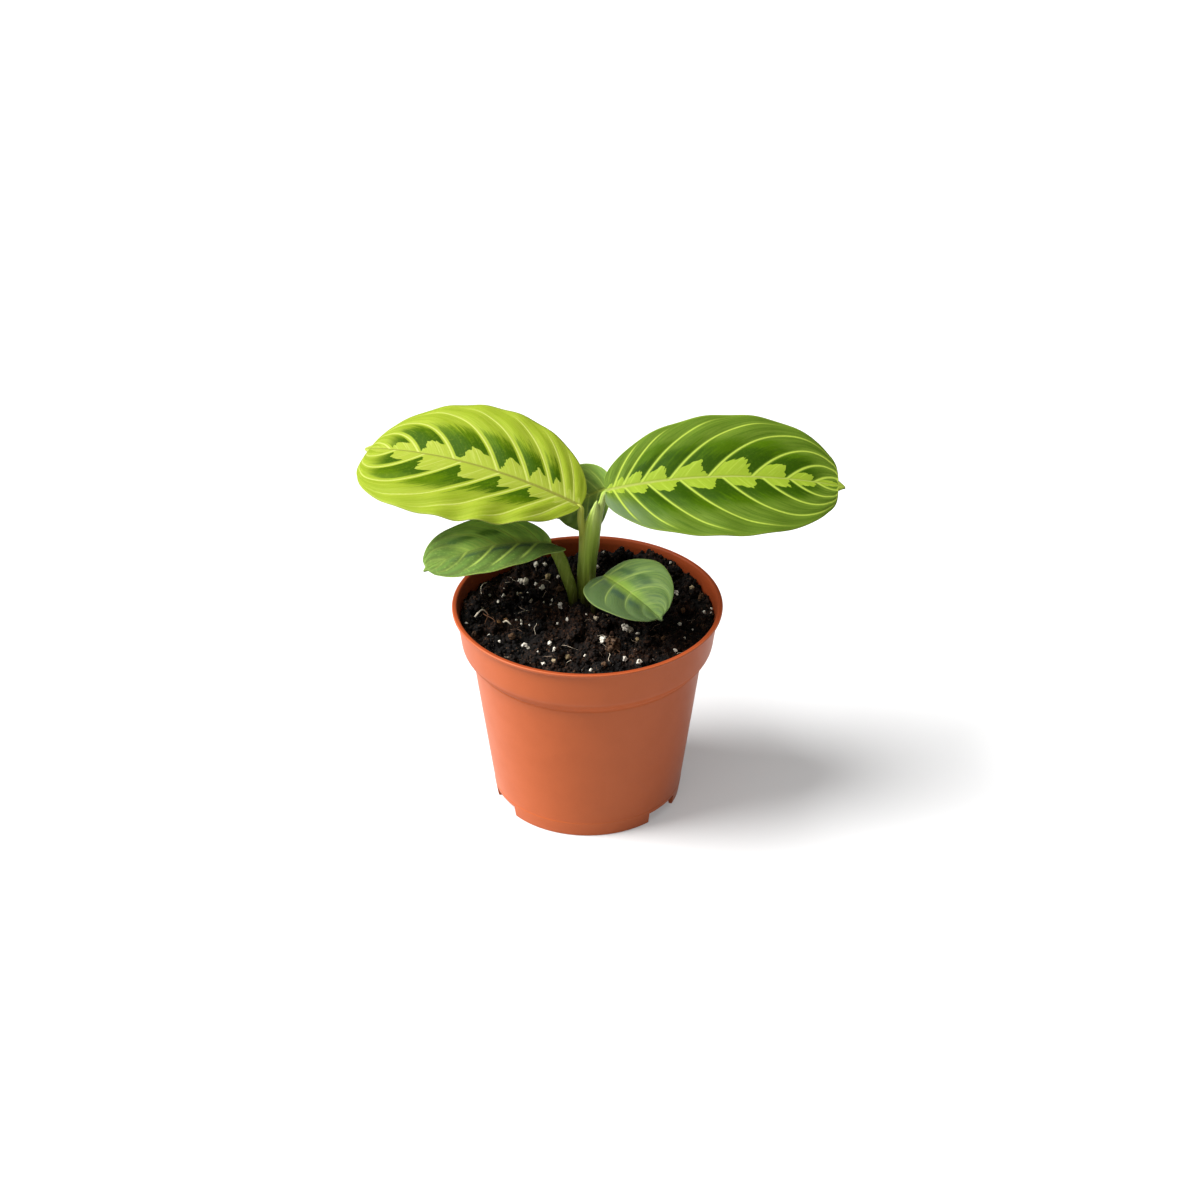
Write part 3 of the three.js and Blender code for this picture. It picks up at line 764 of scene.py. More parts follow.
def blade_tree():
    """Bends a flat sheet, which knows how far along and across each point is, into a blade."""
    sockets = [("Base", "Vector", None, "Where the blade starts")]
    sockets += [(label, "Float", 0.0, note) for label, note in BLADE_NUMBERS]
    sockets.append(("Finish", "Material", None, "Coat of the blade"))
    tree, g, given = new_tree("Leaf blade", sockets)

    s, t, vein = g.known("along"), g.known("across"), g.known("vein")
    out, side, is_right = abs(t), t.sign(), t.below(0.0)

    def pick(what):
        return g.mix(is_right, given[f"Left {what}"], given[f"Right {what}"])

    def ends(what):
        base, tip = given[f"{what} at base"], given[f"{what} at tip"]
        return base, tip - base

    def swept(start, rate, turn):
        half = rate * s * 0.5 + 1e-5
        middle = start + rate * s * 0.5
        return s * (middle.cos() if turn == "cos" else middle.sin()) * half.sin() / half

    (h0, dh), (c0, dc), (r0, dr) = ends("Heading"), ends("Climb"), ends("Roll")
    half_length = given["Length"] * 0.5
    midrib = g.vector(
        half_length * (swept(h0 + c0, dh + dc, "cos") + swept(h0 - c0, dh - dc, "cos")),
        half_length * (swept(h0 + c0, dh + dc, "sin") + swept(h0 - c0, dh - dc, "sin")),
        given["Length"] * swept(c0, dc, "sin"))
    heading, climb, roll = h0 + dh * s, c0 + dc * s, r0 + dr * s
    sin_h, cos_h = heading.sin(), heading.cos()
    sin_c, cos_c = climb.sin(), climb.cos()
    sin_r, cos_r = roll.sin(), roll.cos()
    ahead = g.vector(cos_c * cos_h, cos_c * sin_h, sin_c)
    sideways = g.vector(-sin_h * cos_r - sin_c * cos_h * sin_r,
                        cos_h * cos_r - sin_c * sin_h * sin_r, cos_c * sin_r)
    over = g.vector(sin_h * sin_r - sin_c * cos_h * cos_r,
                    -(cos_h * sin_r) - sin_c * sin_h * cos_r, cos_c * cos_r)

    base_full, tip_full = pick("base fullness"), pick("tip fullness")
    body = (s / (1 - TIP_LENGTH)).lowest(1.0)
    widest = base_full / (base_full + tip_full)
    peak = widest ** base_full * (1 - widest) ** tip_full
    drip = s * TIP_WIDTH * (((1 - s) / TIP_LENGTH) ** 0.5).lowest(1.0)
    drip = drip + (1 - abs(s - NUB_MIDDLE) / (1 - NUB_MIDDLE)).highest(0.0) * NUB_WIDTH
    width = given["Half width"] * (body ** base_full * (1 - body) ** tip_full / peak + drip)

    fold, bow = given["Fold"], given["Bow"]
    bent = fold + bow * out
    across = width * (bent.sin() - fold.sin()) / bow
    rise = width * (fold.cos() - bent.cos()) / bow
    taper = (s * math.pi).sin().highest(0.0) ** 0.5
    between = (vein * math.pi).sin()
    groove = (between * between * -14.0).exp() * given["Vein groove"]
    puff = given["Quilting"] * (between * between) ** 0.8 * (out * math.pi).sin()
    ripple = given["Wave height"] * out ** 3.0 * (given["Waves"] * 2 * math.pi * s + side).sin()
    ripple = ripple * (1 + given["Frill"] * (1 - is_right) * (1 - s.step(0.3, 0.62)))
    lobe = (1 - (s * (-1 / EAR_START)).exp()) * (-(s * (1 / EAR_END)) ** 2.0).exp()
    lift = rise + taper * (puff + ripple - groove * (1 - out ** 4.0))
    place = g.add_vectors(
        given["Base"], midrib,
        g.scaled(ahead, -(pick("ear") * out * out * lobe)),
        g.scaled(sideways, side * across),
        g.scaled(over, lift))
    bent_sheet = g.field("GeometryNodeSetPosition", {0: given["Geometry"], "Position": place})
    close_tree(g, bent_sheet, given["Finish"])
    return tree


def vein_numbers(along, out, starts):
    """How many side veins lie between the base and each point of half a blade, with the veins
    sweeping forward from the midrib as they near the margin."""
    numbers = np.zeros((len(along), len(out)))
    for row, s in enumerate(along):
        origin = np.linspace(0, min(s, 0.9999), 160)
        run = VEIN_RUN * (1 - np.exp(-(origin + VEIN_RUN_START) / VEIN_RUN_GROWTH))
        reach = VEIN_REACH * (1 - np.exp(-(s - origin) / run))
        leaving = np.interp(out, reach[::-1], origin[::-1])
        numbers[row] = np.interp(leaving, starts, range(len(starts)))
    return numbers


def half_outline(fullness, s):
    """Half width from base to tip, 1 at its widest."""
    base, tip = fullness
    body = np.minimum(s / (1 - TIP_LENGTH), 1)
    widest = base / (base + tip)
    peak = widest ** base * (1 - widest) ** tip
    drip = TIP_WIDTH * s * np.minimum(1, np.sqrt(np.maximum(1 - s, 0) / TIP_LENGTH))
    drip = drip + NUB_WIDTH * np.maximum(1 - np.abs(s - NUB_MIDDLE) / (1 - NUB_MIDDLE), 0)
    return body ** base * (1 - body) ** tip / peak + drip


def flat_blade(name):
    """A flat sheet for a blade, with its vein map stored on its points."""
    blade = BLADES[name]
    rows, columns = BLADE_ROWS[blade["size"]], BLADE_COLUMNS[blade["size"]]
    q = np.linspace(0, 1, rows)
    along = 0.45 * q + 0.55 * (1 - np.cos(math.pi * q)) / 2
    share = np.linspace(0, 1, columns + 1)
    out = 0.55 * share + 0.45 * share ** 2
    across = np.concatenate([-out[:0:-1], out])
    s, t = np.meshgrid(along, across, indexing="ij")
    number, pitch, rib = (np.zeros_like(s) for _ in range(3))
    left_starts, right_starts = VEIN_STARTS[name]
    for starts, fullness, spots in (
            (right_starts, blade["right"], slice(columns, None, -1)),
            (left_starts, blade["left"], slice(columns, None))):
        width = blade["half_width"] * np.maximum(half_outline(fullness, along), 1e-3)
        numbers = vein_numbers(along, out, starts)
        by_s, by_out = np.gradient(numbers, along, out)
        spread = np.gradient(width, along)[:, None] / width[:, None]
        slope = np.hypot((by_s - by_out * out * spread) / blade["length"], by_out / width[:, None])
        number[:, spots] = numbers
        pitch[:, spots] = np.clip(1 / np.maximum(slope, 1e-3), 0.2, 30)
        rib[:, spots] = width[:, None] * out
    points = np.stack([s * blade["length"], t * blade["half_width"], 0 * s], -1).reshape(-1, 3)
    faces = [face[::-1] for face in grid_faces(rows, len(across))]
    sheet = mesh_object(f"{name}_blade", points, faces)
    for key, values in (("along", s), ("across", t), ("vein", number), ("vein_pitch", pitch),
                        ("rib_distance", rib)):
        store(sheet, key, values)
    return sheet, rows, len(across)


def read_store(mesh, name):
    """The number that each point of a mesh keeps."""
    values = np.empty(len(mesh.vertices), np.float32)
    mesh.attributes[name].data.foreach_get("value", values)
    return values


def thicken_blade(piece, rows, columns, thickness, rib):
    """Gives the bent sheet an upper and a lower face, a thin rim and a rib underneath."""
    mesh = piece.data
    count = len(mesh.vertices)
    points, normals = np.empty(count * 3), np.empty(count * 3)
    mesh.vertices.foreach_get("co", points)
    mesh.vertex_normals.foreach_get("vector", normals)
    points, normals = points.reshape(-1, 3) / MM, normals.reshape(-1, 3)
    kept = {key: read_store(mesh, key)
            for key in ("along", "across", "vein", "vein_pitch", "rib_distance")}
    s, out, off_rib = kept["along"], np.abs(kept["across"]), kept["rib_distance"]
    half = 0.5 * thickness * (0.5 + 0.5 * (1 - out ** 2))
    channel = MIDRIB_CHANNEL * np.exp(-((off_rib / 0.7) ** 2)) * (1 - s)
    ridge = rib * (1 - 0.8 * s) * np.exp(-((off_rib / 1.1) ** 2)) * np.minimum(1, s * 60)
    beside_vein = np.sin(math.pi * kept["vein"]) ** 2
    ribs = VEIN_RIB * np.exp(-10 * beside_vein) * (1 - out ** 3)
    upper = points + normals * (half - channel)[:, None]
    lower = points - normals * (half + ridge + ribs)[:, None]
    name = piece.name
    bpy.data.objects.remove(piece)
    made = mesh_object(name, np.concatenate([upper, lower]), shell_faces(rows, columns))
    for key, values in kept.items():
        store(made, key, np.concatenate([values, values]))
    store(made, "underside", np.repeat([0.0, 1.0], count))
    return finished(made)


def blade_finish(name, colours):
    """Satin leaf tissue: a toothed pale centre, dark patches between pale side veins, fine
    streaks along them, and a plainer underside."""
    material, g, shader = new_material(f"{name}_tissue", {
        "Specular IOR Level": 0.04, "Subsurface Weight": 0.1,
        "Subsurface Radius": (0.6, 1.0, 0.25), "Subsurface Scale": 1.2 * MM})
    blade = BLADES[name]
    big = blade["size"] == "large"
    s, t, n, pitch, rib = (attribute(g, key) for key in (
        "along", "across", "vein", "vein_pitch", "rib_distance"))
    under = attribute(g, "underside").step(0.4, 0.6)
    out, f = abs(t), n.fraction()
    half = t.sign()
    whole = n - f
    to_vein = f.lowest(1 - f) * pitch

    streaks = g.noise(g.vector(n * 9.0, out * 2.2, half * 7.0), 1.0, 3, 0.6)
    fine = g.noise(g.vector(n * 30.0, out * 4.0, half * 5.0), 1.0, 2, 0.6)
    hair = g.noise(g.vector(n * 75.0, out * 6.0, half * 3.0), 1.0, 1, 0.6)
    cells = g.noise(object_place(g), 900, 3, 0.6)
    blotch = g.noise(g.vector(n * 1.6, out * 3.0, half * 3.0 + 4.0), 1.0, 2)

    is_left = half.step(-0.5, 0.5)
    grain = streaks * 0.5 + fine * 0.25 + hair * 0.25
    # Painted sheen: a pale bluish-grey tone over one half, the tip, and on the large leaves an
    # outer strip near the base, with the patches there in the sheen patch colour.
    sheen_share = g.mix(is_left, blade["veil"][1], blade["veil"][0])
    sheen_share = sheen_share.highest(s.step(0.5, 0.8) * blade["tip_sheen"])
    if big:
        sheen_share = sheen_share * (1 - s.step(0.05, 0.3)) * out.step(0.3, 0.75)

    jag = g.noise(g.vector(n * 7.0, whole, half * 11.0), 1.0, 1)
    each = g.noise(g.vector(whole * 1.7, half * 3.0, 0.0), 1.0, 0)
    if big:
        nick = g.noise(g.vector(n * 8.0, out * 11.0, half * 7.0), 1.0, 1)
        low, high, far_low, far_high = blade["teeth"]
        low = g.mix(is_left, far_low, low) * (1 - s * 0.6)
        high = g.mix(is_left, far_high, high) * (1 - s.step(0.62, 0.97) * 0.6)
        high = high * (0.8 + f.step(0.05, 0.4) * 0.25 + (each - 0.5) * 0.5)
        corner = blade["lean"][0] - out * blade["lean"][1] + (each - 0.5) * 0.25
        corner = corner + (nick - 0.5) * 0.3 + (1 - s.step(0.05, 0.3)) * 0.15
        tooth = 1 - (f - corner).step(-0.02, 0.03)
        edge = low + (high - low) * tooth + (jag - 0.5) * 0.06 + (nick - 0.5) * 0.09
        centre = 1 - (out - edge).step(-0.006, 0.006)
        spur = (1 - (abs(f - 0.36) * pitch).step(0.05, 0.18)) * centre * out.step(0.02, 0.08)
        outer = g.mix(s, *blade["spread"]) + (streaks - 0.5) * 0.45 + (blotch - 0.5) * 0.4
        outer = outer + (each - 0.5) * 0.3 + (hair - 0.5) * 0.3 + (fine - 0.5) * 0.25
        inside = (1 - (out - outer).step(-0.12, 0.07)) * (1 - centre)
        beside = (to_vein - blade["border"] + (fine - 0.5) * 0.7).step(0.0, 0.5)
        along_patch = n.step(1.5, 2.2) * (1 - s.step(0.83, 0.93))
        patch = inside * beside * along_patch
    else:
        spur = 0.0
        centre = 1 - (out - 0.14 - (jag - 0.5) * 0.12).step(-0.08, 0.12)
        centre = centre * 0.55 * (1 - s.step(0.5, 0.8) * 0.7)
        middle = out - g.mix(is_left, blade["band"][1], blade["band"][0])
        patch = (1 - (abs(middle - (blotch - 0.5) * 0.2) - 0.07).step(-0.05, 0.09))
        patch = patch * (to_vein - 0.6).step(0.0, 0.9) * (blotch * 0.5 + each).step(0.62, 0.82)
        patch = patch * n.step(0.6, 1.1) * (1 - s.step(0.7, 0.85)) * 0.85
    deep = g.blend((out * 1.4 + (streaks - 0.5) * 0.9 + (blotch - 0.5) * 1.3).step(0.35, 0.85),
                   colours["patch"], colours["depth"])
    deep = g.blend(sheen_share, deep, colours["smudge"])

    vein_width = blade["vein_width"] * (1 - out * 0.5)
    vein = 1 - (to_vein - vein_width).step(-0.16, 0.2)
    fade = 1 - out.step(0.8, 0.97) if big else 1 - out.step(0.6, 0.85)
    toward_tip = 1 - s.step(0.9, 1.0) * 0.3 if big else 1 - s.step(0.55, 0.75) * 0.85
    vein = vein * n.step(0.4, 0.7) * fade * toward_tip
    halo = (1 - (to_vein - vein_width).step(0.0, 0.9)) * n.step(0.4, 0.8) * fade * toward_tip
    rib_width = 0.55 * (1.25 - s)
    midrib = 1 - (rib - rib_width).step(-0.2, 0.25)
    rim = (out - 0.965).step(0.0, 0.03)
    # Painted shade: the shade colour darkens the middle of each panel between the side veins,
    # standing in for the shading of the quilted puffs.
    tone = g.layered(
        colours["margin"], (grain.step(0.4, 0.62), colours["streak"]), (sheen_share, colours["veil"]),
        ((to_vein / pitch).step(0.1, 0.5) * 0.3, colours["shade"]), (patch, deep),
        (centre, colours["centre"]),
        (centre * (grain - 0.5).step(0.0, 0.12) * 0.35, colours["vein"]),
        (spur * 0.6, colours["vein"]), (halo * 0.35, colours["streak"]),
        (vein * (0.92 if big else 0.75), colours["vein"]),
        (midrib * (0.85 if big else 0.45) * toward_tip, colours["midrib"]),
        (rim * (0.3 if big else 0.6), colours["vein"]),
        ((cells - 0.5).step(0.0, 0.25) * 0.12, colours["streak"]))

    below = g.layered(colours["under"], (streaks.step(0.35, 0.7) * 0.35, colours["margin"]),
                      (vein * 0.5 + midrib * 0.4, colours["vein"]))
    paint(g, shader, g.blend(under, tone, below), g.mix(under, 0.44 + cells * 0.14, 0.65))

    relief = vein * 0.7 + (fine - 0.5) * 0.22 + (n * 12.0 * 2 * math.pi).sin() * 0.05
    relief = relief + cells * 0.12 - midrib * 0.6
    bump(g, shader, relief, 0.22, 0.7)
    return material


class PLANT_OT_blades(bpy.types.Operator):
    """Bends the five leaf blades from one rule and coats each in its own pattern"""
    bl_idname = "plant.make_blades"
    bl_label = "Leaf blades"

    def execute(self, context):
        tree = blade_tree()
        for name, blade in BLADES.items():
            said = getattr(context.scene.plant, name)
            colours = {key: getattr(said, f"{key}_colour") for key in BLADE_COLOURS[name]}
            sheet, rows, columns = flat_blade(name)
            material = blade_finish(name, colours)
            values = {
                "Base": tuple(said.base), "Length": said.length, "Half width": said.half_width,
                "Fold": said.fold, "Bow": said.bow, "Left ear": blade["ears"][0] * MM,
                "Right ear": blade["ears"][1] * MM, "Quilting": said.quilt,
                "Waves": float(blade["waves"]), "Wave height": said.wave,
                "Frill": float(blade["frill"]),
                "Vein groove": VEIN_GROOVE * MM, "Finish": material,
            }
            for half in ("left", "right"):
                values[f"{half.title()} base fullness"] = blade[half][0]
                values[f"{half.title()} tip fullness"] = blade[half][1]
            for part in ("heading", "climb", "roll"):
                for end in ("base", "tip"):
                    values[f"{part.title()} at {end}"] = getattr(said, f"{part}_{end}")
            add_tree(sheet, tree, **values)
            bent = plain_mesh(sheet)
            piece = thicken_blade(bent, rows, columns, said.thickness / MM, blade["rib"])
            settle(piece, name, material)
        return {"FINISHED"}


# Stalks: rows of stations (x, y, z, half width, half depth) in millimetres
STALKS = {
    "stem_main": [
        [(-1.5, 10, 70, 2.3, 2.2), (-1.5, 10, 86, 2.7, 2.5), (-0.3, 10, 96, 3.2, 2.8),
         (1.5, 10, 108, 3.2, 2.7), (2.7, 10, 116, 2.8, 2.3), (4.6, 10, 123, 1.8, 1.8),
         (6, 10, 128, 1.3, 1.3), (6.8, 10, 131, 1.2, 1.2),
         (7.7, 9.95, 131.9, 0.9, 0.85), (10.2, 9.75, 132.75, 0.5, 0.45)],
        [(-2.3, 9.6, 70, 1.8, 2), (-2.3, 9.6, 86, 2, 2), (-2, 9.4, 96, 2.2, 1.9),
         (-1.5, 9.2, 108, 1.9, 1.7), (-1.8, 9, 115, 1.7, 1.5), (-2.6, 8.6, 121, 1.4, 1.3),
         (-2.5, 8.3, 125.2, 1.25, 1.25), (-3, 8.2, 126.3, 0.9, 0.85),
         (-5.2, 8.7, 127.1, 0.5, 0.45)],
        [(-0.8, 9.4, 70, 3.1, 2.6), (-0.8, 9.4, 86, 3.4, 2.8), (-0.3, 9.3, 95, 3.6, 2.9),
         (0.1, 9.2, 102, 3.7, 2.8), (0.8, 9, 110, 3.85, 2.6), (1.7, 8.7, 116, 3.5, 2.2),
         (2.7, 8.5, 121, 2.7, 1.7), (3.3, 8.4, 125, 1.6, 1.1), (3.8, 8.4, 129, 0.35, 0.4)],
    ],
    "stem_small_left": [
        [(-6, 6.8, 70, 1.5, 1.4), (-6, 6.8, 86, 1.9, 1.5), (-7, 7.3, 91, 2.3, 1.5),
         (-8.7, 7.9, 96, 2.5, 1.4), (-10.3, 8.4, 101, 2.6, 1.3), (-12.1, 8.8, 104.7, 2.5, 1.1),
         (-14, 9.2, 107.4, 1.5, 1), (-14.9, 9.05, 108.4, 0.9, 0.75),
         (-17.2, 8.8, 108.95, 0.45, 0.4)],
    ],
    "stem_small_right": [
        [(2.8, 4.6, 70, 1.3, 1.3), (2.8, 4.6, 86, 1.3, 1.3), (4.2, 4.8, 91, 1.2, 1.2),
         (5.7, 5.4, 94.6, 1.05, 1.05), (6.3, 5, 95.6, 0.85, 0.8), (7.5, 3.3, 96.4, 0.45, 0.4)],
    ],
    "stem_back": [
        [(0.5, 15.8, 70, 1.5, 1.5), (0.5, 15.8, 86, 1.5, 1.5), (1, 22, 98, 1.3, 1.3),
         (3.4, 27, 108, 1.2, 1.2), (8, 26.6, 118.5, 1.1, 1.1), (10.6, 24.2, 125.3, 1, 1),
         (10, 23.2, 126.8, 0.6, 0.6)],
    ],
}
# Where the seam of each sheath runs, in radians
SEAM_TURNS = {"stem_main": (1.2, 1.6, 1.15), "stem_small_left": (-0.6,),
              "stem_small_right": (-1.2,), "stem_back": (-1.2,)}


def through_stations(stations, count):
    """Points and half sizes along a smooth curve through the stations."""
    knots = np.array(stations, float)
    spots = knots[:, :3]
    spots = np.vstack([2 * spots[0] - spots[1], spots, 2 * spots[-1] - spots[-2]])
    found = []
    for u in np.linspace(0, len(knots) - 1, count):
        i = min(int(u), len(knots) - 2)
        w = u - i
        p0, p1, p2, p3 = spots[i:i + 4]
        d0, d1, d2 = (max(np.linalg.norm(b - a) ** 0.5, 1e-4)
                      for a, b in ((p0, p1), (p1, p2), (p2, p3)))
        start = ((p1 - p0) / d0 - (p2 - p0) / (d0 + d1) + (p2 - p1) / d1) * d1
        end = ((p2 - p1) / d1 - (p3 - p1) / (d1 + d2) + (p3 - p2) / d2) * d1
        point = ((2 * w ** 3 - 3 * w ** 2 + 1) * p1 + (w ** 3 - 2 * w ** 2 + w) * start
                 + (3 * w ** 2 - 2 * w ** 3) * p2 + (w ** 3 - w ** 2) * end)
        size = knots[i, 3:] + (knots[i + 1, 3:] - knots[i, 3:]) * w
        found.append([*point, *size])
    return np.array(found)


def stalk_tree():
    """Wraps a fluted skin round a path whose points know their half width and half depth."""
    sockets = [("Sides", "Int", 40, "Points round the stalk"),
               ("Rings", "Int", 150, "Points along the stalk"),
               ("Flute", "Float", 0.03, "Depth of the ridges over the radius"),
               ("Seam", "Float", 0.15, "Depth of the seam over the radius"),
               ("Seam turn", "Float", 0.0, "Where the seam runs, in radians"),
               ("Finish", "Material", None, "Coat of the stalk")]
    tree, g, given = new_tree("Sheathed stalk", sockets)
    path = g.field("GeometryNodeMeshToCurve", {0: given["Geometry"]})
    sheet = g.field("GeometryNodeMeshGrid", {"Size X": 1.0, "Size Y": 1.0,
                                             "Vertices X": given["Sides"] + 1.0,
                                             "Vertices Y": given["Rings"]})
    round_it, down_it, _ = g.parts(g.field("GeometryNodeInputPosition"))
    turn = (round_it + 0.5) * 2 * math.pi
    along = (down_it + 0.5).lowest(1.0).highest(0.0)

    def sampled(name):
        sockets = {"Curves": path, "Value": g.known(name), "Factor": along}
        return g.node("GeometryNodeSampleCurve", sockets, mode="FACTOR")

    wide, deep = sampled("half_width"), sampled("half_depth")
    tangent = Field(g, wide.outputs["Tangent"])

    def crossed(a, b):
        product = g.field("ShaderNodeVectorMath", {0: a, 1: b}, operation="CROSS_PRODUCT")
        return g.field("ShaderNodeVectorMath", {0: product}, operation="NORMALIZE")

    to_front = crossed((1, 0, 0), tangent)
    to_right = crossed(tangent, to_front)
    cap = (along / 0.012).lowest((1 - along) / 0.03).lowest(1.0)
    cap = (cap * (2 - cap)).highest(0.0) ** 0.5
    seam_turn = given["Seam turn"] + along * 1.1
    off_seam = ((turn - seam_turn) * 0.5).sin()
    seam = (off_seam * off_seam * -260.0).exp() * given["Seam"]
    edge = (((turn - seam_turn - 0.16) * 0.5).sin() ** 2.0 * -180.0).exp() * given["Seam"] * 0.5
    flutes = (turn * 11.0 + along * 2.0).sin() * given["Flute"] * 0.4
    around = g.vector(turn.cos() * 2.0, turn.sin() * 2.0, along * 5.0)
    swell = (g.noise(around, 1.0, 2) - 0.5) * given["Flute"] * 2.5
    scale = (1 + swell + flutes - seam + edge) * cap
    place = g.add_vectors(
        Field(g, wide.outputs["Position"]),
        g.scaled(to_right, turn.cos() * Field(g, wide.outputs["Value"]) * scale),
        g.scaled(to_front, turn.sin() * Field(g, deep.outputs["Value"]) * scale))
    skin = g.field("GeometryNodeSetPosition", {0: sheet, "Position": place})
    close_tree(g, skin, given["Finish"])
    return tree


def stalk_finish(stalks):
    """Smooth green sheath with lengthwise fibres, darker and stained near the soil, yellower to
    the left, and pale where the sheath ends in a flap."""
    material, g, shader = new_material("stalk_skin", {
        "Specular IOR Level": 0.16, "Subsurface Weight": 0.12,
        "Subsurface Radius": (0.7, 1.0, 0.3), "Subsurface Scale": 1.5 * MM})
    place = object_place(g)
    x, y, z = g.parts(place)
    fibre = g.noise(g.vector(x * 1300.0 - z * 120.0, y * 1300.0, z * 30.0), 1.0, 3, 0.65)
    broad = g.noise(g.vector(x * 260.0, y * 260.0, z * 30.0), 1.0, 2)
    pores = g.noise(place, 1800, 2)
    rise = (z + (broad - 0.5) * 0.03).step(0.084, 0.116)
    left = 1 - (x - z * 0.02 + (broad - 0.5) * 0.002).step(-0.0045, -0.0022)
    flap = (z + x * 0.6 + (fibre - 0.5) * 0.012).step(0.112, 0.131) * (x - 0.0006).step(0.0, 0.0016)
    flap = flap * (1 - (y - 0.0086).step(0.0, 0.0012))
    # Painted shade down the right side of the stalks, away from the key light.
    right = (x - z * 0.09 + 0.0055 + (broad - 0.5) * 0.002).step(-0.0005, 0.002)
    stain = (1 - (z + (broad - 0.5) * 0.012).step(0.0815, 0.0895)) * 0.8
    tone = g.layered(
        stalks.base_colour, (rise, stalks.top_colour),
        (left * z.step(0.1, 0.118) * 0.6, stalks.left_colour),
        (fibre.step(0.5, 0.75) * 0.35, "a9b966"), ((1 - fibre).step(0.52, 0.75) * 0.35, "465618"),
        (flap * 0.6, stalks.flap_colour), (right * (1 - flap) * 0.45, "3e4c12"),
        (stain, "231c0e"), (pores.step(0.66, 0.74) * 0.25, "3f4218"))
    paint(g, shader, tone, g.mix(fibre, 0.4, 0.6))
    bump(g, shader, fibre + pores * 0.2, 0.14, 0.6)
    return material


class PLANT_OT_stalks(bpy.types.Operator):
    """Grows the stalks and their sheaths along their paths"""
    bl_idname = "plant.make_stalks"
    bl_label = "Stalks and sheaths"

    def execute(self, context):
        stalks = context.scene.plant.stalks
        tree, material = stalk_tree(), stalk_finish(stalks)
        for name, paths in STALKS.items():
            grown = []
            for number, stations in enumerate(paths):
                path = through_stations(stations, STALK_POINTS)
                edges = [(k, k + 1) for k in range(STALK_POINTS - 1)]
                part = mesh_object(f"{name}_path{number}", path[:, :3], edges=edges)
                store(part, "half_width", path[:, 3] * MM)
                store(part, "half_depth", path[:, 4] * MM)
                values = {"Flute": stalks.flute, "Seam": stalks.seam, "Finish": material,
                          "Seam turn": SEAM_TURNS[name][number]}
                add_tree(part, tree, **values)
                grown.append(finished(plain_mesh(part)))
            piece = joined(grown, f"{name}_sheath")
            settle(piece, name, material)
        return {"FINISHED"}


# Soil

def heaped(x, y):
    """How far the soil is heaped at the back right and left and hollowed in front, in mm."""
    reach, turn = np.hypot(x, y), np.degrees(np.arctan2(y, x))
    near_wall = np.clip((reach - 34) / 16, 0, 1) ** 1.6
    back = np.exp(-(((turn - BACK_RIDGE_ANGLE) / 30) ** 2))
    front_left = np.exp(-((((turn % 360) - FRONT_DIP_ANGLE) / 40) ** 2))
    left = np.exp(-((((turn % 360) - LEFT_RISE_ANGLE) / 26) ** 2))
    return near_wall * (BACK_RIDGE_HEIGHT * back + LEFT_RISE_HEIGHT * left
                        - FRONT_DIP_DEPTH * front_left)


def pot_radius_inside(z):
    """Inner radius of the pot's wall at a height, in millimetres."""
    return float(np.interp(z, INNER_HEIGHTS, INNER_RADII))


def peat_mesh():
    """The body of soil: a fine round top, and a plain skirt and floor down in the pot."""
    edge = pot_radius_inside(SOIL_TOP) - SOIL_GAP
    a, b = np.meshgrid(np.linspace(-1, 1, SOIL_GRID), np.linspace(-1, 1, SOIL_GRID), indexing="ij")
    x = edge * a * np.sqrt(1 - b * b / 2)
    y = edge * b * np.sqrt(1 - a * a / 2)
    z = ground(x, y) + heaped(x, y)
    points = [np.stack([x, y, z], -1).reshape(-1, 3)]
    faces = [face[::-1] for face in grid_faces(SOIL_GRID, SOIL_GRID)]
    loop = edge_order(SOIL_GRID, SOIL_GRID)
    turn = np.arctan2(points[0][loop, 1], points[0][loop, 0])
    for height in SKIRT_HEIGHTS:
        radius = pot_radius_inside(height) - (0.6 if height > 5 else 1.6)
        ring = np.stack([radius * np.cos(turn), radius * np.sin(turn), 0 * turn + height], -1)
        fresh = sum(len(block) for block in points) + np.arange(len(loop))
        faces += band(loop, fresh)
        points.append(ring)
        loop = fresh
    faces.append(loop[::-1].tolist())
    piece = mesh_object("peat", np.concatenate(points), faces)
    inner = (edge - np.hypot(x, y)) / 2.5
    skirt = np.zeros(len(SKIRT_HEIGHTS) * len(loop))
    free = np.concatenate([np.clip(inner, 0.25, 1).ravel(), skirt])
    store(piece, "free", free)
    return piece


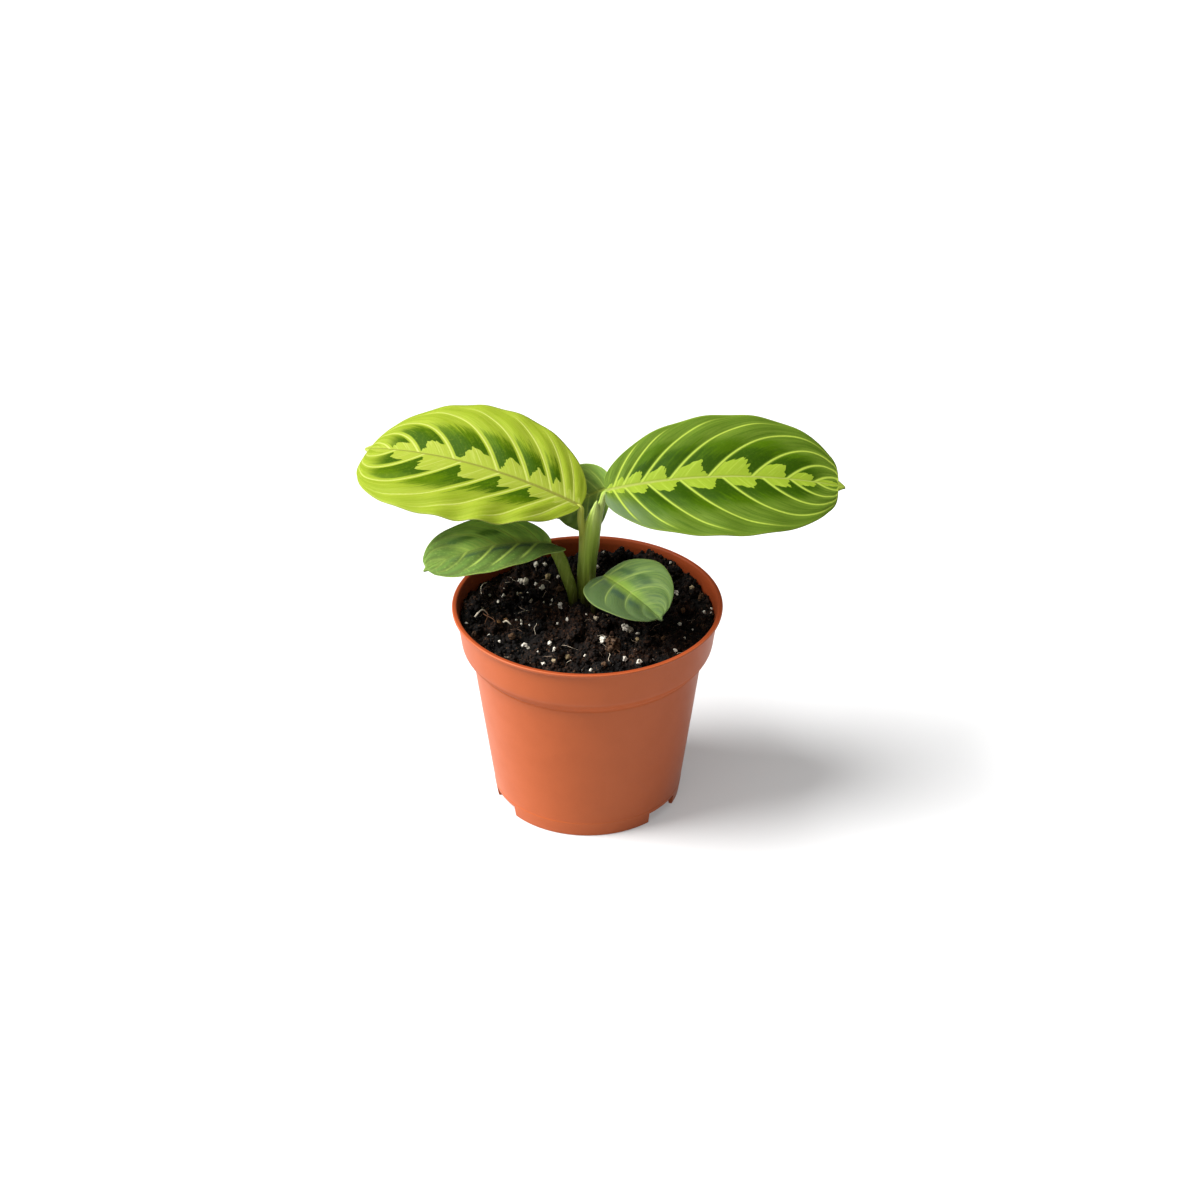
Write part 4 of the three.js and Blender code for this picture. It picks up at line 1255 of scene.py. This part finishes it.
def peat_tree():
    """Breaks a soil surface up into clods and crumbs."""
    sockets = [("Clod height", "Float", 0.003, "Rise of the clods"),
               ("Crumb height", "Float", 0.001, "Rise of the small lumps"),
               ("Seed", "Float", 4.0, "Draw of the noise"),
               ("Finish", "Material", None, "Coat of the soil")]
    tree, g, given = new_tree("Broken peat", sockets)
    free = g.known("free")
    place = g.field("GeometryNodeInputPosition")
    place = g.add_vectors(place, g.vector(given["Seed"], 0.0, 0.0))
    bend = g.node("ShaderNodeTexNoise", {"Vector": place, "Scale": 330.0, "Detail": 2.0})
    bent = g.add_vectors(place, g.scaled(Field(g, bend.outputs["Color"]), 0.0065))

    def lumps(scale):
        cell = g.node("ShaderNodeTexVoronoi", {"Vector": bent, "Scale": scale})
        draw = g.field("FunctionNodeSeparateColor", {0: cell.outputs["Color"]})
        near = Field(g, cell.outputs["Distance"])
        return (1 - near * near * 1.5).highest(0.0) * (0.25 + draw * 0.75)

    clods, small, tiny = lumps(125.0), lumps(330.0), lumps(760.0)
    fine = g.noise(place, 1500, 3, 0.7)
    lift = (clods - 0.42) * given["Clod height"]
    lift = lift + (small - 0.4 + (tiny - 0.4) * 0.5 + (fine - 0.5) * 0.8) * given["Crumb height"]
    shift = (g.noise(place, 520, 2) - 0.5) * given["Crumb height"]
    moved = g.scaled(g.vector(shift * 0.6, shift * -0.6, lift), free)
    skin = g.field("GeometryNodeSetPosition", {0: given["Geometry"], "Offset": moved})
    close_tree(g, skin, given["Finish"])
    return tree


def random_number(g, low, high, seed):
    """A random number for each point."""
    made = g.node("FunctionNodeRandomValue", data_type="FLOAT")
    for key, value in ((2, low), (3, high), ("Seed", seed)):
        made.inputs[key].default_value = value
    return Field(g, made.outputs[1])


def strewn_lumps(g, points, detail, stretch, seed):
    """A stretched ball on each point, turned at random."""
    turn = g.field("FunctionNodeRandomValue", {0: (-3.1, -3.1, -3.1), 1: (3.1, 3.1, 3.1),
                                               "Seed": seed}, data_type="FLOAT_VECTOR")
    lump = g.field("GeometryNodeMeshIcoSphere", {"Radius": 1.0, "Subdivisions": detail})
    laid = g.field("GeometryNodeInstanceOnPoints",
                   {"Points": points, "Instance": lump, "Rotation": turn, "Scale": stretch})
    return g.field("GeometryNodeRealizeInstances", {0: laid})


def roughened(g, lumps, scale, detail, reach):
    """Moves the points of the lumps about with a noise."""
    place = g.field("GeometryNodeInputPosition")
    shift = g.node("ShaderNodeTexNoise", {"Vector": place, "Scale": scale, "Detail": detail})
    offset = g.add_vectors(Field(g, shift.outputs["Color"]), g.vector(-0.5, -0.5, -0.5))
    return g.field("GeometryNodeSetPosition", {0: lumps, "Offset": g.scaled(offset, reach)})


def crumb_tree():
    """Scatters angular crumbs over the free top of the soil."""
    sockets = [("Count on a square metre", "Float", 400000.0, "How thickly the crumbs lie"),
               ("Largest", "Float", 0.001, "Radius of the largest crumb"),
               ("Seed", "Int", 1, "Draw of the places"),
               ("Finish", "Material", None, "Coat of the crumbs")]
    tree, g, given = new_tree("Loose crumbs", sockets)
    scatter = g.field("GeometryNodeDistributePointsOnFaces", {
        "Mesh": given["Geometry"], "Density": given["Count on a square metre"],
        "Seed": given["Seed"], "Selection": (0.2 - g.known("free")).below(0.0)})
    size = random_number(g, 0.3, 1.0, 11) ** 2.2 * given["Largest"]
    lumps = strewn_lumps(g, scatter, 1, g.vector(size * 1.3, size, size * 0.8), 12)
    close_tree(g, roughened(g, lumps, 1500.0, 2.0, given["Largest"] * 0.9), given["Finish"])
    return tree


def grain_tree(name):
    """Sets a rough grain on each point that knows its size."""
    sockets = [("Detail", "Int", 2, "How finely each grain is cut"),
               ("Lump scale", "Float", 1100.0, "Lumps on a metre"),
               ("Roughness", "Float", 0.5, "How uneven each grain is over its radius"),
               ("Finish", "Material", None, "Coat of the grains")]
    tree, g, given = new_tree(f"Grains of {name}", sockets)
    size = g.known("size")
    points = g.field("GeometryNodeMeshToPoints", {"Mesh": given["Geometry"]})
    stretch = g.vector(size * random_number(g, 0.85, 1.5, 4),
                       size * random_number(g, 0.65, 1.1, 5), size * random_number(g, 0.6, 1.0, 6))
    lumps = strewn_lumps(g, points, given["Detail"], stretch, 3)
    reach = g.known("size") * given["Roughness"] * 2
    close_tree(g, roughened(g, lumps, given["Lump scale"], 3.0, reach), given["Finish"])
    return tree


def strand_tree():
    """Wraps a thin round skin along each strand."""
    sockets = [("Sides", "Int", 5, "Points round a strand"),
               ("Finish", "Material", None, "Coat of the strands")]
    tree, g, given = new_tree("Strands", sockets)
    radius = g.known("radius_here")
    path = g.field("GeometryNodeMeshToCurve", {0: given["Geometry"]})
    ring = g.field("GeometryNodeCurvePrimitiveCircle",
                   {"Resolution": given["Sides"], "Radius": 1.0})
    skin = g.field("GeometryNodeCurveToMesh", {"Curve": path, "Profile Curve": ring,
                                               "Scale": radius, "Fill Caps": True})
    close_tree(g, skin, given["Finish"])
    return tree


# What lies on the soil, by the pixel of the 1200 pixel frame where it shows

# Perlite: pixel across, pixel down, width in millimetres, tint from 0 white to 1 tan
PERLITE = [
    (536.2, 566.3, 2, 0), (545, 565.8, 1.7, 0.1), (526.2, 584.2, 2.8, 0.3), (536.2, 585.5, 1.6, 0),
    (542.8, 588.8, 1.8, 0.1), (548.3, 579.2, 2.6, 0.9), (558.3, 578.3, 1.6, 0.2),
    (517.5, 594.2, 0.9, 0), (489.2, 596.3, 1.3, 0.2), (503.3, 597.2, 1.6, 0),
    (498.3, 603, 1.5, 0.1), (522.5, 598.3, 0.9, 0), (530, 601.7, 1.8, 0.5),
    (528, 593.7, 0.9, 0.1), (543.7, 602.9, 0.9, 0), (552, 601.3, 1.3, 0.1),
    (551.3, 605.8, 1.2, 0.2), (560.3, 608, 2.5, 0), (586.3, 615.3, 0.9, 0.2),
    (595.8, 620.3, 2.2, 0.6), (567.2, 620.8, 1.6, 0), (516.3, 620.8, 0.9, 0),
    (521.2, 622, 1.1, 0.3), (521.2, 625, 1.3, 0.1), (530, 625.8, 1.1, 0),
    (557.5, 624.2, 0.9, 0), (466.7, 624.2, 1, 0.1), (488.3, 635.8, 1.2, 0),
    (499.7, 642.5, 1.3, 0.1), (524.7, 646.6, 1.9, 0.1), (528.4, 649.2, 1.9, 0.2),
    (549.2, 644.7, 1.8, 0), (554.2, 650.8, 1.6, 0.1), (538, 652.5, 0.9, 0),
    (543.3, 665.3, 1.6, 0.1), (553.8, 662.2, 1.6, 0.8), (567.5, 659.2, 2.2, 0.9),
    (585, 657.5, 1.4, 0.1), (590.8, 671.3, 1.5, 0.1), (581.7, 671.3, 0.9, 0),
    (603, 641.7, 2.8, 0), (625.8, 630, 3, 0.1), (630, 632.5, 2.6, 0.5),
    (638, 634.7, 1.5, 0.2), (637.8, 641.3, 1.9, 0.9), (625, 660.5, 2, 0),
    (639.2, 664.2, 2.2, 0.1), (652.5, 660.8, 1, 0), (675.8, 651.7, 1.6, 0.1),
    (680, 625.3, 1.6, 0), (684.7, 639.7, 1.2, 0.1), (704.2, 613.7, 1.5, 0),
    (711.3, 613.3, 0.9, 0.1), (716.7, 610, 1, 0), (676.7, 594.2, 2, 0.1),
    (691.7, 588.8, 1.9, 0.8), (670.5, 564.2, 1.2, 0), (597.5, 568.3, 1.5, 0.1),
    (603.5, 553.3, 1, 0), (635, 650.8, 1, 0), (692.5, 630, 0.9, 0.2),
]
# Clods of peat: pixel across, pixel down, width
CLODS = [
    (540, 617, 7.6), (576, 635, 7), (530, 602, 8), (538, 631, 6.5), (593, 655, 5), (623, 660, 4.5),
    (687, 571, 5), (699, 587, 5.5), (707, 593, 4), (624, 552, 6), (605, 555, 5), (632, 555, 4),
    (508, 589, 6), (483, 595, 5), (468, 608, 5), (476, 634, 5), (685, 612, 7), (664, 634, 6),
    (678, 600, 5), (646, 643, 5), (512, 642, 5), (497, 627, 5), (557, 655, 5), (605, 626, 5.5),
    (556, 590, 5), (520, 573, 5), (655, 615, 4.5), (700, 620, 4.5), (565, 608, 4),
]
# Broken bark: pixel across, pixel down, width, tint from 0 dark to 1 pale
BARK = [
    (613, 650, 6.2, 0.25), (506, 622, 2.2, 0.9), (499, 623.5, 1.8, 0.9), (512, 638, 2.6, 0.3),
    (571, 640, 3.4, 0.1), (648, 619, 3, 0.2), (664, 640, 2.6, 0.4), (701, 600, 3.2, 0.3),
    (560, 591, 2.4, 0.3), (474, 636, 2.6, 0.2), (604, 667, 2.8, 0.3), (683, 612, 2.4, 0.5),
]
# Strands: first and last pixel, arch and half width in millimetres, tint from 0 pale to 1 brown
STRANDS = [
    (475, 617, 488, 615, 3, 0.42, 0), (503, 623, 511, 625, 1.2, 0.4, 0.1),
    (606, 646, 622, 655, 1.6, 0.16, 1), (610, 655, 621, 645, 1.4, 0.14, 1),
    (489, 608, 484, 626, 1.3, 0.16, 1), (471.7, 580, 481.7, 595.8, 1.4, 0.1, 0),
    (608, 653, 613, 665, 1, 0.12, 0.2),
    (587, 638, 607, 650, 0.8, 0.09, 0.4), (482, 611, 495, 624, 1, 0.22, 1),
    (486, 612, 494, 619, 0.7, 0.18, 0.9), (560, 646, 578, 650, 0.8, 0.1, 0.5),
    (650, 606, 668, 613, 1.2, 0.1, 0.6), (515, 606, 531, 612, 0.7, 0.1, 0.7),
]
SCRAP_PIXEL = (481, 610)
SCRAP_SIZE = 0.55
SCRAP_LIFT = 0.6
SCRAP_LEAN = -24
SOIL_MIDDLE_PIXEL = (588, 600)
LOOSE_ROOTLETS = 46
ROOTLET_REACH = 44
ROOTLET_LIMIT = 46
# Soil that the leaves hide in the photo, as corners in millimetres
HIDDEN_SOIL = (((-38, 8), (-18, 30)), ((4, -2), (26, 14)))
HIDDEN_GRAINS = 11


def soil_surface():
    """The finished soil, ready for rays."""
    mesh = bpy.data.objects["peat"].data
    return BVHTree.FromPolygons([v.co[:] for v in mesh.vertices],
                                [p.vertices[:] for p in mesh.polygons])


def seen_at(surface, u, v):
    """The point of the soil that shows at a pixel, or next to it inwards, in millimetres."""
    stand, right, up, ahead = camera_frame()
    half = PIXELS_ACROSS / 2
    for pull in np.linspace(0, 0.2, 21):
        x, y = u + (SOIL_MIDDLE_PIXEL[0] - u) * pull, v + (SOIL_MIDDLE_PIXEL[1] - v) * pull
        ray = ahead + (right * (x - half) + up * (half - y)) / PIXELS_PER_SLOPE
        hit = surface.ray_cast(Vector(stand * MM), Vector(ray).normalized())[0]
        if hit is not None:
            return np.array(hit) / MM
    raise ValueError(f"no soil shows at {u}, {v}")


def under(surface, x, y):
    """The top of the soil at a place, in millimetres."""
    hit = surface.ray_cast(Vector((x * MM, y * MM, 0.2)), Vector((0, 0, -1)))[0]
    return np.array(hit) / MM


def beds(surface, grains, sink):
    """Middles, half widths and tints of grains that are bedded in the soil by a share."""
    found = []
    for u, v, width, tint in grains:
        spot = seen_at(surface, u, v)
        found.append([*(spot + [0, 0, width * (0.5 - sink)]), width / 2, tint])
    return found


def coated_grains(name, rows, values, material):
    """A piece of grains from rows of x, y, z, half width and tint."""
    rows = np.array(rows)
    piece = mesh_object(name, rows[:, :3])
    store(piece, "size", rows[:, 3] * MM)
    store(piece, "tint", rows[:, 4])
    add_tree(piece, grain_tree(name), Finish=material, **values)
    settle(finished(piece), None)


def grain_finish(name, first, second, pitting):
    """A rough grain between two colours, with pits and dirt."""
    material, g, shader = new_material(name, {"Specular IOR Level": 0.25})
    place = object_place(g)
    tint = attribute(g, "tint")
    cells = g.field("ShaderNodeTexVoronoi", {"Vector": place, "Scale": 1900.0})
    dirt = g.noise(place, 700, 4, 0.65)
    tone = g.layered(first, (tint, second), (dirt.step(0.5, 0.72) * 0.55, "54463a"),
                     (cells.step(0.0, 0.25) * -0.35 + 0.35, "6b5e50"))
    paint(g, shader, tone, g.mix(dirt, 0.7, 0.95))
    bump(g, shader, cells + dirt * 0.5, pitting, 0.8)
    return material


def peat_finish(soil):
    """Damp black peat with brown dry crumbs and fine fibres."""
    material, g, shader = new_material("damp_peat", {"Specular IOR Level": 0.1})
    place = object_place(g)
    fine = g.noise(place, 2300, 4, 0.7)
    middle = g.noise(place, 620, 4, 0.65)
    broad = g.noise(place, 60, 3)
    specks = g.field("ShaderNodeTexVoronoi", {"Vector": place, "Scale": 1400.0}, output=1)
    speck = g.field("ShaderNodeSeparateColor", {0: specks})
    dry = middle.step(0.46, 0.62) * fine.step(0.38, 0.6) * broad.step(0.38, 0.6)
    tone = g.layered(
        soil.peat_colour, (dry, soil.crumb_colour), (broad.step(0.45, 0.7) * 0.3, "1d120c"),
        ((speck - 0.9).step(0.0, 0.06) * fine.step(0.45, 0.6) * 0.5, "6a4c34"),
        ((0.06 - speck).step(0.0, 0.05) * 0.5, "050403"))
    paint(g, shader, tone, g.mix(fine, 0.5, 0.95))
    bump(g, shader, fine * 0.6 + middle, 0.55, 0.9)
    return material


class PLANT_OT_soil(bpy.types.Operator):
    """Fills the pot with peat and strews loose crumbs over it"""
    bl_idname = "plant.make_soil"
    bl_label = "Peat"

    def execute(self, context):
        soil = context.scene.plant.soil
        material = peat_finish(soil)
        peat = peat_mesh()
        add_tree(peat, peat_tree(), Finish=material, Seed=float(soil.seed),
                 **{"Clod height": soil.clod_height, "Crumb height": soil.crumb_height})
        plain_mesh(peat)
        rows = np.array(beds(soil_surface(), [(*clod, 0) for clod in CLODS], CLOD_SINK))
        reach = np.hypot(rows[:, 0], rows[:, 1])
        free_reach = pot_radius_inside(80) - 0.8 - rows[:, 3] * 1.75
        rows[:, :2] *= np.minimum(1, free_reach / reach)[:, None]
        clods = mesh_object("clods", rows[:, :3])
        for key, values in (("size", rows[:, 3] * MM), ("tint", rows[:, 4]),
                            ("free", 0 * rows[:, 4] + 1)):
            store(clods, key, values)
        add_tree(clods, grain_tree("peat"), Finish=material, Detail=4, Roughness=0.7,
                 **{"Lump scale": 380.0})
        peat = joined([peat, plain_mesh(clods)], "peat")
        crumbs = new_object("peat_crumbs", peat.data.copy())
        add_tree(crumbs, crumb_tree(), Finish=material, Seed=soil.seed, Largest=soil.largest_crumb,
                 **{"Count on a square metre": soil.crumbs / MM ** 2})
        settle(finished(crumbs), None)
        settle(finished(peat), "soil", material)
        return {"FINISHED"}


class PLANT_OT_grains(bpy.types.Operator):
    """Beds the perlite grains and the bits of bark in the soil"""
    bl_idname = "plant.make_grains"
    bl_label = "Perlite and bark"

    def execute(self, context):
        soil = context.scene.plant.soil
        surface, draw = soil_surface(), np.random.default_rng(soil.seed)
        perlite = beds(surface, PERLITE, GRAIN_SINK)
        for low, high in HIDDEN_SOIL:
            for _ in range(HIDDEN_GRAINS):
                width = 0.6 + 1.3 * draw.uniform() ** 2
                spot = under(surface, *draw.uniform(low, high)) + [0, 0, width * 0.2]
                perlite.append([*spot, width / 2, draw.uniform() ** 3])
        coated_grains("perlite", perlite, {"Detail": 3, "Roughness": 1.05},
                      grain_finish("perlite", soil.grain_colour, "8a7449", 0.12))
        coated_grains("bark_bits", beds(surface, BARK, BARK_SINK),
                      {"Detail": 4, "Roughness": 0.75},
                      grain_finish("bark", "20130b", "6a4a28", 0.3))
        return {"FINISHED"}


def strand_points(ends, lift, count, wander, draw):
    """Points of a strand from one end to the other, arched and wandering to the sides."""
    t = np.linspace(0, 1, count)[:, None]
    path = ends[0] + (ends[1] - ends[0]) * t
    aside = np.cross(ends[1] - ends[0], [0, 0, 1])
    for waves in (1, 2, 3):
        path = path + aside * wander / waves * draw.uniform(-1, 1) * np.sin(math.pi * waves * t)
    return path + np.array([0, 0, lift]) * np.sin(math.pi * t)


class PLANT_OT_strands(bpy.types.Operator):
    """Lays rootlets, fibres and a curled scrap of leaf on the soil"""
    bl_idname = "plant.make_strands"
    bl_label = "Rootlets and scraps"

    def execute(self, context):
        soil = context.scene.plant.soil
        surface, draw = soil_surface(), np.random.default_rng(soil.seed + 1)
        paths = []
        for u0, v0, u1, v1, arch, half, tint in STRANDS:
            ends = [seen_at(surface, u0, v0) + [0, 0, 0.1], seen_at(surface, u1, v1) + [0, 0, 0.1]]
            paths.append((strand_points(ends, arch, 16, 0.12, draw), half, tint))
        while len(paths) < len(STRANDS) + LOOSE_ROOTLETS:
            turn = draw.uniform(0, math.tau)
            reach = ROOTLET_REACH * math.sqrt(draw.uniform())
            start = under(surface, reach * math.cos(turn), reach * math.sin(turn))
            way, run = draw.uniform(0, math.tau), draw.uniform(2.5, 8)
            far = start[:2] + np.array([math.cos(way), math.sin(way)]) * run
            if np.hypot(*far) < ROOTLET_LIMIT:
                ends = [start + [0, 0, 0.05], under(surface, *far) + [0, 0, 0.05]]
                paths.append((strand_points(ends, 0.5, 12, 0.2, draw),
                              draw.uniform(0.05, 0.13), draw.uniform(0.2, 1)))
        points, radii, tints, edges = [], [], [], []
        for path, half, tint in paths:
            edges += [(len(points) + k, len(points) + k + 1) for k in range(len(path) - 1)]
            taper = 1 - 0.6 * np.linspace(0, 1, len(path)) ** 2
            points += path.tolist()
            radii += (half * taper).tolist()
            tints += [tint] * len(path)
        piece = mesh_object("rootlets", points, edges=edges)
        store(piece, "radius_here", np.array(radii) * MM)
        store(piece, "tint", tints)
        material = grain_finish("rootlet", "d9cdb6", "5a3a22", 0.05)
        add_tree(piece, strand_tree(), Finish=material)
        settle(finished(piece), None)
        settle(finished(scrap_mesh(seen_at(surface, *SCRAP_PIXEL))), None,
               scrap_finish())
        return {"FINISHED"}


def scrap_mesh(spot):
    """A dry scrap of leaf, curled to an open roll."""
    rows, columns, shells = 14, 22, []
    for layer in (0.0, 0.16):
        sheet = []
        for v in np.linspace(-1, 1, rows):
            for u in np.linspace(0, 1, columns):
                turn = -0.9 + 3.9 * u
                radius = 1.5 - 0.35 * u + layer + 0.14 * math.sin(5 * v + 3 * u)
                run = v * (2.3 - 0.5 * u) + 0.2 * math.sin(9 * u)
                sheet.append([run, radius * math.cos(turn), radius * math.sin(turn)])
        shells.append(np.array(sheet))
    points = np.concatenate(shells)
    lean = math.radians(SCRAP_LEAN)
    points[:, :2] = points[:, :2] @ np.array([[math.cos(lean), math.sin(lean)],
                                              [-math.sin(lean), math.cos(lean)]])
    points = points * SCRAP_SIZE + spot + [0, 0, SCRAP_LIFT]
    faces = [face[::-1] for face in shell_faces(rows, columns)]
    return mesh_object("leaf_scrap", points, faces)


def scrap_finish():
    """Dry cream leaf with brown edges."""
    material, g, shader = new_material("dry_scrap")
    place = object_place(g)
    x, y, z = g.parts(place)
    lines = g.noise(g.vector(x * 300.0, y * 2200.0, z * 2200.0), 1.0, 3, 0.6)
    stain = g.noise(place, 420, 3, 0.6)
    tone = g.layered("a89f84", (lines.step(0.4, 0.7), "8f7d58"),
                     (stain.step(0.5, 0.68) * 0.8, "5c4024"))
    paint(g, shader, tone, g.mix(stain, 0.55, 0.8))
    bump(g, shader, lines, 0.1, 0.6)
    return material


# Stage

def soft_light(name, power, softness, side):
    """A wide soft light that comes from a side."""
    data = bpy.data.lights.new(name, "SUN")
    data.energy, data.angle = power, softness
    turn = (-Vector(side)).to_track_quat("-Z", "Y")
    new_object(name, data).rotation_euler = turn.to_euler()


def floor_finish(stage):
    """Smooth pale table top, faintly lit from below."""
    material, g, shader = new_material("table_top", {
        "Roughness": 0.85, "Specular IOR Level": 0.2, "Emission Color": (1, 1, 1, 1),
        "Emission Strength": stage.floor_glow})
    grain = g.noise(object_place(g), 900, 3)
    tone = g.blend(grain * 0.03, stage.floor_colour, "a4a4a4")
    g.feed(shader.inputs["Base Color"], tone)
    return material


class PLANT_OT_stage(bpy.types.Operator):
    """Sets up the pale floor, the soft lights and the camera"""
    bl_idname = "plant.make_stage"
    bl_label = "Stage"

    def execute(self, context):
        stage, scene = context.scene.plant.stage, context.scene
        half = stage.floor_size / MM / 2
        floor = mesh_object("floor", [(-half, -half, 0), (half, -half, 0), (half, half, 0),
                                      (-half, half, 0)], [(0, 1, 2, 3)])
        floor.data.materials.append(floor_finish(stage))
        world = bpy.data.worlds.new("surroundings")
        world.use_nodes = True
        backdrop = world.node_tree.nodes["Background"]
        backdrop.inputs["Color"].default_value = (1, 1, 1, 1)
        backdrop.inputs["Strength"].default_value = stage.sky
        scene.world = world
        soft_light("key_light", stage.key_power, stage.key_softness, KEY_SIDE)
        soft_light("top_light", stage.top_power, stage.top_softness, TOP_SIDE)
        lens = bpy.data.cameras.new("camera")
        lens.lens, lens.sensor_width = CAMERA_LENS, 36
        lens.clip_start, lens.clip_end = 0.05, 100
        camera = new_object("camera", lens)
        camera.location = Vector(camera_frame()[0] * MM)
        camera.rotation_euler = (math.radians(90 - CAMERA_CLIMB), 0, 0)
        scene.camera = camera
        scene.view_settings.view_transform = "Standard"
        return {"FINISHED"}


# Add-on

STEPS = (PLANT_OT_stage, PLANT_OT_pot, PLANT_OT_soil, PLANT_OT_grains, PLANT_OT_strands,
         PLANT_OT_stalks, PLANT_OT_blades)


class PLANT_PT_builder(bpy.types.Panel):
    """Lists the steps that build the plant"""
    bl_idname = "PLANT_PT_builder"
    bl_label = "Potted prayer plant"
    bl_space_type = "VIEW_3D"
    bl_region_type = "UI"
    bl_category = "Plant"

    def draw(self, context):
        for step in STEPS:
            self.layout.operator(step.bl_idname)
        for group in ("pot", "soil", "stalks", "stage", *BLADES):
            said = getattr(context.scene.plant, group)
            box = self.layout.box()
            box.label(text=group.replace("_", " ").capitalize())
            for key in said.__annotations__:
                box.prop(said, key)


CLASSES = (PotSettings, SoilSettings, StalkSettings, StageSettings, *BLADE_GROUPS.values(),
           PlantSettings, *STEPS, PLANT_PT_builder)


def register():
    for kind in CLASSES:
        bpy.utils.register_class(kind)
    bpy.types.Scene.plant = PointerProperty(type=PlantSettings)


def unregister():
    del bpy.types.Scene.plant
    for kind in reversed(CLASSES):
        bpy.utils.unregister_class(kind)


def main():
    register()
    for step in STEPS:
        group, name = step.bl_idname.split(".")
        getattr(getattr(bpy.ops, group), name)()


if __name__ == "__main__":
    main()
